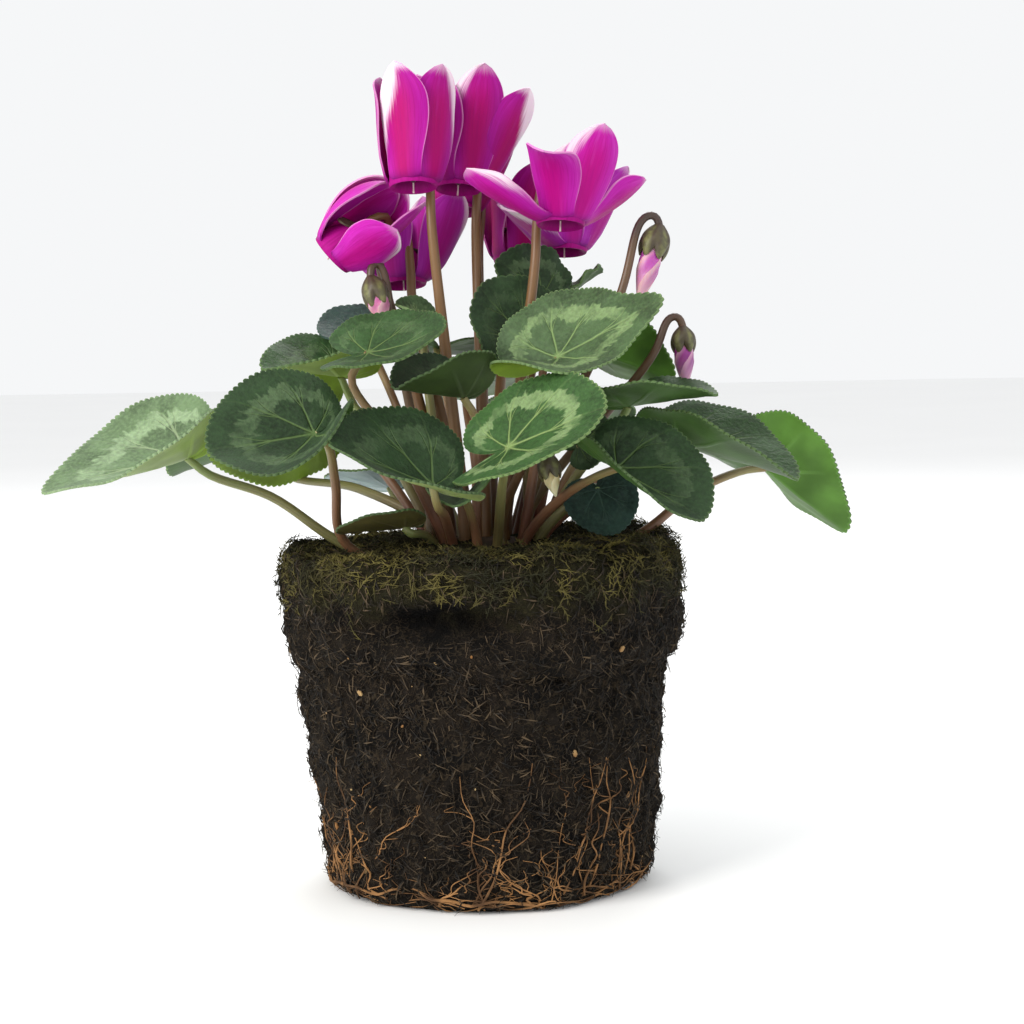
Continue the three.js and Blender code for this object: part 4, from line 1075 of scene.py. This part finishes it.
flowers = [
    {"mouth": (-14.4, -14, 169), "axis": (-0.02, 0.26, 1), "stalkSide": 65, "foot": (-4, -5),
     "length": 28.5, "tone": "crimson",
     "petals": [(252, 7, 1, 0, 1, -1.0), (322, 8, 0, 0, 1, 0.5), (162, 3, 0, 0, 1, -0.4),
                (80, 4, -1, 0, 1.08, 0.1), (24, 5, -1, 0, 1, 0.6)]},
    {"mouth": (-4.3, 6, 169), "axis": (0.06, 0.26, 1), "stalkSide": 58, "foot": (1, -2),
     "length": 28.5, "tone": "crimson",
     "petals": [(298, 8, 1, 6, 1.05, -0.4), (350, 28, -4, 20, 1, 1.0), (226, 5, 0, 0, 1, -0.6),
                (160, 5, 0, 0, 1, 0.5), (82, 20, -1, 0, 1, 0.2)]},
    {"mouth": (-5.2, 30, 164.5), "axis": (0.1, 0.3, 1), "stalkSide": 44, "foot": (1, 3.5),
     "length": 27, "tone": "crimson",
     "petals": [(280, 8, 0, 0, 1, 0.2), (350, 20, -3, 10, 1, 0.2), (208, 6, 0, 0, 1, 0.2),
                (138, 8, 0, 0, 1, 0.5), (66, 10, 0, 0, 1, 0.7)]},
    {"mouth": (-35, 0, 153.5), "axis": (0.72, -0.1, 0.62), "stalkSide": 40, "foot": (-8, 3),
     "length": 26, "hookFrom": 2, "tone": "pink",
     "petals": [(190, 20, -22, 6, 1, 0.1), (130, 15, -20, 8, 1, 0.2), (306, 24, -4, -8, 0.7, 0.3),
                (20, 8, -6, 8, 1, 0.4), (75, 8, -14, -8, 1, 0.6)]},
    {"mouth": (-18.5, 18, 146), "axis": (-0.05, 0.24, 1), "stalkSide": 285, "foot": (-3.5, 1.5),
     "length": 25, "tone": "violet",
     "petals": [(246, 10, -1, 8, 1, -0.3), (178, 44, -10, 0, 1, 1.0), (120, 16, -4, 8, 1, 0.9),
                (50, 13, -4, -8, 1, 0.3), (338, 34, -6, 18, 1, 0.4)]},
    {"mouth": (20.2, -10, 159.5), "axis": (0.05, 0.24, 1), "stalkSide": 130, "foot": (5.5, -4),
     "length": 26, "tone": "pink",
     "petals": [(215, 80, -8, -14, 0.95, 0.35), (260, 44, 16, 4, 1, 0.1),
                (312, 22, -1, 10, 0.93, -0.4), (20, 55, -4, 8, 0.85, 0.4), (82, 18, 0, 8, 1, 0.6)]},
    {"mouth": (21.8, 24, 153.5), "axis": (0.02, 0.22, 1), "stalkSide": 122, "foot": (6, 5.5),
     "length": 24, "tone": "violet",
     "petals": [(190, 48, -5, 10, 1, 0.2), (236, 76, 0, 8, 1, 0.9), (292, 6, 0, 8, 1, 0.1),
                (344, 30, -2, -8, 1, 0.4), (60, 22, 0, 8, 1, 0.5)]},
    {"mouth": (9.5, 44, 151), "axis": (0.15, 0.3, 0.95), "stalkSide": 95, "foot": (2, 8.5),
     "length": 26, "tone": "crimson",
     "petals": [(205, 12, 0, 8, 1, 0.1), (140, 14, 0, 8, 1, 0.3), (285, 12, 0, -8, 1, 0.3),
                (350, 22, 0, 8, 1, 0.4), (60, 24, 0, 8, 1, 0.6)]},
]
# edge, middle, streaks and lightest parts of a petal
petalTones = {
    "crimson": ((0.33, 0.006, 0.24), (0.35, 0.001, 0.12), (0.25, 0.001, 0.11), (0.45, 0.02, 0.33)),
    "pink": ((0.46, 0.015, 0.36), (0.42, 0.003, 0.2), (0.3, 0.002, 0.17), (0.58, 0.06, 0.47)),
    "violet": ((0.36, 0.018, 0.35), (0.36, 0.006, 0.21), (0.23, 0.004, 0.17), (0.47, 0.06, 0.44)),
}


def flowerFrame(flower):
    axis = Vector(flower["axis"]).normalized()
    back = (Vector((0, 1, 0)) - axis * axis.y).normalized()
    return axesAt(Vector(flower["mouth"]), back.cross(axis), back, axis)


def petalShape(share):
    # its width from the mouth to the tip, 1 at the widest
    widest = 0.58
    if share < widest:
        narrow = corolla["baseWidth"]
        return narrow + (1 - narrow) * math.sin(math.pi / 2 * share / widest) ** 2
    point = math.cos(math.pi / 2 * 0.93 * ((share - widest) / (1 - widest)) ** 1.5)
    return point * math.sqrt(max(0, 1 - max(0, (share - 0.965) / 0.035) ** 2))


def petalSpine(turn, opening, curl, length, steps):
    # the middle line of a petal with its forward and outer directions
    outward = polar(1, math.radians(turn))
    middle = outward * (corolla["mouthRadius"] - 0.6) + up * 0.5
    spine = []
    fine = 8
    for i in range(steps * fine + 1):
        share = i / (steps * fine)
        turnedBack = (110 - opening) * math.exp(-share / 0.035)
        lean = math.radians(opening + 4 * curl * share ** 2 + turnedBack)
        forward = outward * math.sin(lean) + up * math.cos(lean)
        outer = outward * math.cos(lean) - up * math.sin(lean)
        if i % fine == 0:
            spine.append((middle.copy(), outer))
        middle += forward * (length / (steps * fine))
    return spine


def makePetal(name, flowerAxes, petal, length, number):
    turn, opening, curl, twist, stretch, _ = petal
    rows = corolla["along"]
    spine = petalSpine(turn, opening, curl, stretch * length, rows)
    sideways = Vector((-math.sin(math.radians(turn)), math.cos(math.radians(turn)), 0))
    hollow = corolla["petalHollow"]

    def place(u, v):
        middle, outer = spine[round(v * rows)]
        turned = math.radians(corolla["overlapTwist"] * min(1, 4 * v) + twist * v)
        wide = sideways * math.cos(turned) + outer * math.sin(turned)
        deep = outer * math.cos(turned) - sideways * math.sin(turned)
        side = 2 * u - 1
        half = corolla["petalWidth"] / 2 * petalShape(v)
        arc = side * half / hollow
        ruffle = 0.35 * side ** 2 * v * math.sin(11 * v + 2.1 * number + 1.5 * side)
        ridge = 0.22 * math.exp(-(side / 0.16) ** 2) * math.sin(math.pi * v)
        local = middle + wide * (hollow * math.sin(arc))
        local += deep * (ruffle - ridge - hollow * (1 - math.cos(arc)))
        return flowerAxes @ local

    piece = wrapGrid(name, corolla["across"], rows, place)
    thicken(piece, corolla["thickness"])
    return piece


def petalMaterial(name, tone, white):
    # magenta with a crimson middle, feathered white at one edge and the tip, and a thin pale rim
    edge, deep, streak, light = petalTones[tone]
    add, finish = newMaterial(name, 0.55, 0.1, 0.2, (1.0, 0.15, 0.6), 0.001)
    uv, u, v = surfaceUv(add)
    side = calc(add, "ABSOLUTE", calc(add, "MULTIPLY_ADD", u, 2.0, -1.0))
    fine = streaks(add, uv, 46.0, 3.0, 3.0)
    broad = streaks(add, uv, 5.0, 1.4, 2.0, 5.0)
    middle = product(add, ramp(add, side, 0.1, 0.8, 1.0, 0.0), ramp(add, v, 0.6, 1.0, 1.0, 0.25))
    crimson = mixed(add, middle, edge, deep)
    streaked = mixed(add, ramp(add, fine, 0.4, 0.72, 0.0, 0.5), crimson, streak)
    glow = mixed(add, ramp(add, broad, 0.48, 0.75, 0.0, 0.4), streaked, light)
    throat = mixed(add, ramp(add, v, 0.0, 0.14, 0.8, 0.0), glow, toned(edge, 0.5))
    # the white reaches in from one edge, and further in towards the tip
    reach = product(add, ramp(add, v, 0.12, 0.95), abs(white))
    fromEdge = u if white < 0 else calc(add, "SUBTRACT", 1.0, u)
    border = calc(add, "MULTIPLY_ADD", fine, 0.3, fromEdge)
    border = calc(add, "SUBTRACT", border, product(add, reach, 0.52))
    feathered = product(add, ramp(add, border, 0.02, 0.24, 1.0, 0.0), ramp(add, reach, 0.0, 0.3))
    tip = ramp(add, calc(add, "MULTIPLY_ADD", fine, 0.16, v), 0.97, 1.08)
    whiteness = calc(add, "MAXIMUM", feathered, product(add, tip, abs(white)))
    pale = mixed(add, whiteness, throat, (0.74, 0.62, 0.69))
    rim = product(add, ramp(add, side, 0.95, 0.995), ramp(add, v, 0.05, 0.3, 0.0, 0.55))
    return finish(mixed(add, rim, pale, (0.68, 0.33, 0.56)), fine, 0.25, 0.0003)


def mouthMaterial():
    add, finish = newMaterial("mouthRing", 0.6, 0.1)
    uv, _, v = surfaceUv(add)
    ribs = streaks(add, uv, 60.0, 2.0, 2.0)
    ring = mixed(add, ramp(add, v, 0.1, 0.5), (0.13, 0.0, 0.06), (0.34, 0.003, 0.19))
    ribbed = mixed(add, ramp(add, ribs, 0.4, 0.7, 0.0, 0.4), ring, (0.17, 0.0, 0.08))
    return finish(ribbed, ribs, 0.3, 0.0003)


def plainPartMaterial(name, first, second, scale):
    add, finish = newMaterial(name, 0.5)
    colour = mixed(add, ramp(add, objectNoise(add, scale, 3.0), 0.36, 0.64), first, second)
    return finish(colour, objectNoise(add, 1600.0, 3.0), 0.3, 0.0002)


def lathePiece(name, profile, across, along, axes):
    # a turned surface through the profile's points
    path = smoothPath([(radius, height, 0) for radius, height in profile], along, 8)

    def place(u, v):
        point = path[round(v * along)]
        return axes @ polar(max(point.x, 0), math.tau * u, point.y)

    return wrapGrid(name, across, along, place, welded=True)


def stalkBase(foot):
    # where a stalk stands in the tuber, and a place above the peat
    return Vector((*foot, crown["tuberMiddle"] + 6)), Vector((*foot, ball["height"] + 6))


def flowerStalk(number, flower, axes):
    turn = math.radians(flower["stalkSide"])
    start = flower.get("hookFrom", -10)
    hook = [axes @ polar(out, turn, high) for out, high in corolla["hook"] if high > start]
    socket, foot = stalkBase(flower["foot"])
    path = smoothPath([socket, foot, foot.lerp(hook[0], 0.5), *hook], 48)
    thick, thin = corolla["stalkRadius"]
    return tubeAlong(f"flowerStalk{number}", path, lambda share: mixBetween(thick, thin, share), 14)


def flowerCalyx(number, axes):
    def place(u, v):
        pointed = abs(math.cos(2.5 * math.tau * u)) ** 1.6
        radius = v * mixBetween(*corolla["calyxRadius"], pointed)
        height = corolla["calyxHeight"] - 0.9 * v - 1.3 * v * v * pointed
        return axes @ polar(radius, math.tau * u, height)

    calyx = wrapGrid(f"calyx{number}", 60, 6, place, welded=True)
    thicken(calyx, 0.5)
    return calyx


def makeFlowers():
    mouthPaint = mouthMaterial()
    petalPaint = {}
    stalkPaint = [
        stalkMaterial("flowerStalk", *corolla["stalkColours"]),
        plainPartMaterial("sepal", (0.05, 0.03, 0.022), (0.1, 0.085, 0.035), 300.0),
        plainPartMaterial("anther", (0.02, 0.008, 0.012), (0.07, 0.02, 0.03), 700.0),
        plainPartMaterial("style", (0.6, 0.35, 0.42), (0.75, 0.6, 0.6), 900.0),
    ]
    for number, flower in enumerate(flowers, 1):
        axes = flowerFrame(flower)
        tube = lathePiece(f"tube{number}", corolla["mouthRing"], 60, 22, axes)
        thicken(tube, 0.4)
        tube.data.materials.append(mouthPaint)
        parts = [tube]
        for k, petal in enumerate(flower["petals"]):
            piece = makePetal(f"petal{number}", axes, petal, flower["length"], number + 3 * k)
            look = (flower["tone"], petal[-1])
            if look not in petalPaint:
                petalPaint[look] = petalMaterial(f"petal.{len(petalPaint) + 1}", *look)
            piece.data.materials.append(petalPaint[look])
            parts.append(piece)
        whole = joinPieces(f"flower{number}Petals", parts)
        smoothShade(whole)
        handOver(whole, "petals", f"flower_{number}_petals")

        stamens = lathePiece(f"cone{number}", corolla["stamens"], 16, 10, axes)
        spine = [axes @ Vector((0, 0, z)) for z in corolla["style"]]
        style = tubeAlong(f"style{number}", spine, lambda share: 0.22 if share < 0.4 else 0.17, 8)
        parts = [flowerStalk(number, flower, axes), flowerCalyx(number, axes), stamens, style]
        for part, paint in zip(parts, stalkPaint):
            part.data.materials.append(paint)
        whole = joinPieces(f"flower{number}Stalk", parts)
        smoothShade(whole)
        handOver(whole, "flower_stalks", f"flower_{number}_stalk")
    print("flowers:", len(flowers))


# Drooping buds. pass is a place that the stalk runs through. The petals are rolled up, and their
# edges wind round the bud.

budShape = {
    "edges": 4,
    "winding": 0.8,  # turns of an edge over the length
    "stemRadius": (1.3, 0.95),
    "stemColours": ((0.13, 0.085, 0.035), (0.11, 0.06, 0.03), (0.045, 0.025, 0.02)),
}
buds = [
    {"foot": (-12, -6.5), "pass": (-20, -5, 134), "hook": (-23.5, -3, 151.5),
     "calyx": (-24.6, -6, 145), "tip": (-22.2, -8, 137), "calyxSize": (3.3, 6.8),
     "petalSize": (2.6, 1.2), "colours": ((0.45, 0.1, 0.26), (0.66, 0.42, 0.44))},
    {"foot": (10.5, -3), "pass": (34.5, -8, 143), "hook": (40.5, -4, 161.5),
     "calyx": (43.2, -4, 155.8), "tip": (38.8, -6, 141), "calyxSize": (3.7, 7.3),
     "petalSize": (2.7, 1.4), "colours": ((0.4, 0.06, 0.33), (0.66, 0.4, 0.42))},
    {"foot": (11, 1.5), "pass": (43, -1, 129), "hook": (46.5, 1, 137), "calyx": (49.8, 0, 132),
     "tip": (50.1, -1, 121), "calyxSize": (3.1, 5.5), "petalSize": (2.4, 1.8),
     "colours": ((0.26, 0.02, 0.22), (0.6, 0.32, 0.46))},
    {"foot": (5, -8.5), "pass": (11, -19, 104), "hook": (14, -21, 107.5),
     "calyx": (16.2, -22, 103.3), "tip": (17.9, -24, 95.8), "calyxSize": (2.8, 5.8),
     "petalSize": (1.9, 0.5), "colours": ((0.5, 0.42, 0.2), (0.75, 0.68, 0.42))},
]


def budFrame(bud):
    down = (Vector(bud["tip"]) - Vector(bud["calyx"])).normalized()
    side = (Vector((0, 1, 0)) - down * down.y).normalized()
    return axesAt(Vector(bud["calyx"]), side, down.cross(side), down)


def budPetalMaterial(name, deep, pale):
    # rolled petals: pale edges wind down over the colour
    add, finish = newMaterial(name, 0.42, glow=0.2, glowDepth=0.001)
    uv, u, v = surfaceUv(add)
    wound = calc(add, "MULTIPLY_ADD", v, -budShape["winding"], product(add, u, budShape["edges"]))
    across = calc(add, "MULTIPLY_ADD", streaks(add, uv, 20.0, 3.0), 0.2, wound)
    across = calc(add, "FRACT", across)
    edge = product(add, ramp(add, across, 0.45, 0.97), 0.85)
    pink = mixed(add, ramp(add, v, 0.35, 0.95, 0.0, 0.8), deep, pale)
    return finish(mixed(add, edge, pink, pale), across, 0.5, 0.0004)


def calyxMaterial():
    # five olive sepals with dark seams between them
    add, finish = newMaterial("budCalyx", 0.5)
    u, v = surfaceUv(add)[1:]
    seam = ramp(add, fromMiddle(add, product(add, u, 5.0)), 0.2, 0.42, 1.0, 0.0)
    blotch = objectNoise(add, 700.0, 3.0)
    olive = mixed(add, ramp(add, blotch, 0.35, 0.65), (0.08, 0.075, 0.03), (0.15, 0.15, 0.05))
    seamed = mixed(add, product(add, seam, 0.75), olive, (0.04, 0.022, 0.015))
    colour = mixed(add, ramp(add, v, 0.0, 0.35, 0.8, 0.0), seamed, (0.05, 0.028, 0.018))
    return finish(colour, blotch, 0.3, 0.0003)


def budPetals(number, bud, axes):
    wide, narrow = bud["petalSize"]
    length = (Vector(bud["tip"]) - Vector(bud["calyx"])).length

    def place(u, v):
        belly = math.sin(math.pi * min(1, 0.25 + 0.75 * v)) ** 0.35 if v < 1 else 0
        size = mixBetween(wide, narrow, max(0, (v - 0.45) / 0.55) ** 1.3)
        size *= min(1, 6 * (1 - v) ** 0.6)
        size *= mixBetween(0.75, 1, min(1, 3 * v)) * max(belly, 0.6)
        size *= 1 + 0.09 * ((budShape["edges"] * u - budShape["winding"] * v) % 1 - 0.5)
        return axes @ polar(size, math.tau * (u + 0.3 * v), mixBetween(0.3, length, v))

    petals = wrapGrid(f"bud{number}Petals", 50, 24, place, welded=True)
    pointOutwards(petals)
    return petals


def budCup(number, bud, axes):
    radius, height = bud["calyxSize"]

    def place(u, v):
        around = math.tau * u
        pointed = abs(math.cos(2.5 * around)) ** 1.4
        rise = mixBetween(-0.5, mixBetween(0.3, 0.62, pointed), v) * height
        swell = math.sin(math.pi * (0.1 + 0.61 * v)) ** 1.15
        ribbed = (radius - 0.25) * swell * (1 + 0.05 * math.cos(5 * around) * v)
        return axes @ polar(ribbed, around, rise)

    cup = wrapGrid(f"budCup{number}", 60, 16, place, welded=True)
    thicken(cup, 0.5)
    return cup


def budStem(number, bud, axes):
    low = -0.46 * bud["calyxSize"][1]
    top = axes @ Vector((0, 0, low))
    above = axes @ Vector((0, 0, low - 2)) + up
    hook = Vector(bud["hook"]) + 0.8 * up
    path = smoothPath([*stalkBase(bud["foot"]), bud["pass"], hook, above, top], 70)
    thick, thin = budShape["stemRadius"]
    path = relaxed(path, 10)
    return tubeAlong(f"budStem{number}", path, lambda share: mixBetween(thick, thin, share), 12)


def makeBuds():
    stemPaint = stalkMaterial("budStalk", *budShape["stemColours"])
    cupPaint = calyxMaterial()
    for number, bud in enumerate(buds, 1):
        axes = budFrame(bud)
        petals = budPetals(number, bud, axes)
        petals.data.materials.append(budPetalMaterial(f"budPetal{number}", *bud["colours"]))
        smoothShade(petals, 50)
        handOver(petals, "bud_petals", f"bud_{number}_petals")

        cup, stem = budCup(number, bud, axes), budStem(number, bud, axes)
        cup.data.materials.append(cupPaint)
        stem.data.materials.append(stemPaint)
        whole = joinPieces(f"bud{number}Stalk", [stem, cup])
        smoothShade(whole)
        handOver(whole, "bud_stalks", f"bud_{number}_stalk")
    print("buds:", len(buds))


setUpStudio()
makeBall()
makeLitter()
makeRoots()
makeCrown()
makeLeaves()
makeFlowers()
makeBuds()

[[list(corner) for corner in box] for box in (cadBox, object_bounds())]
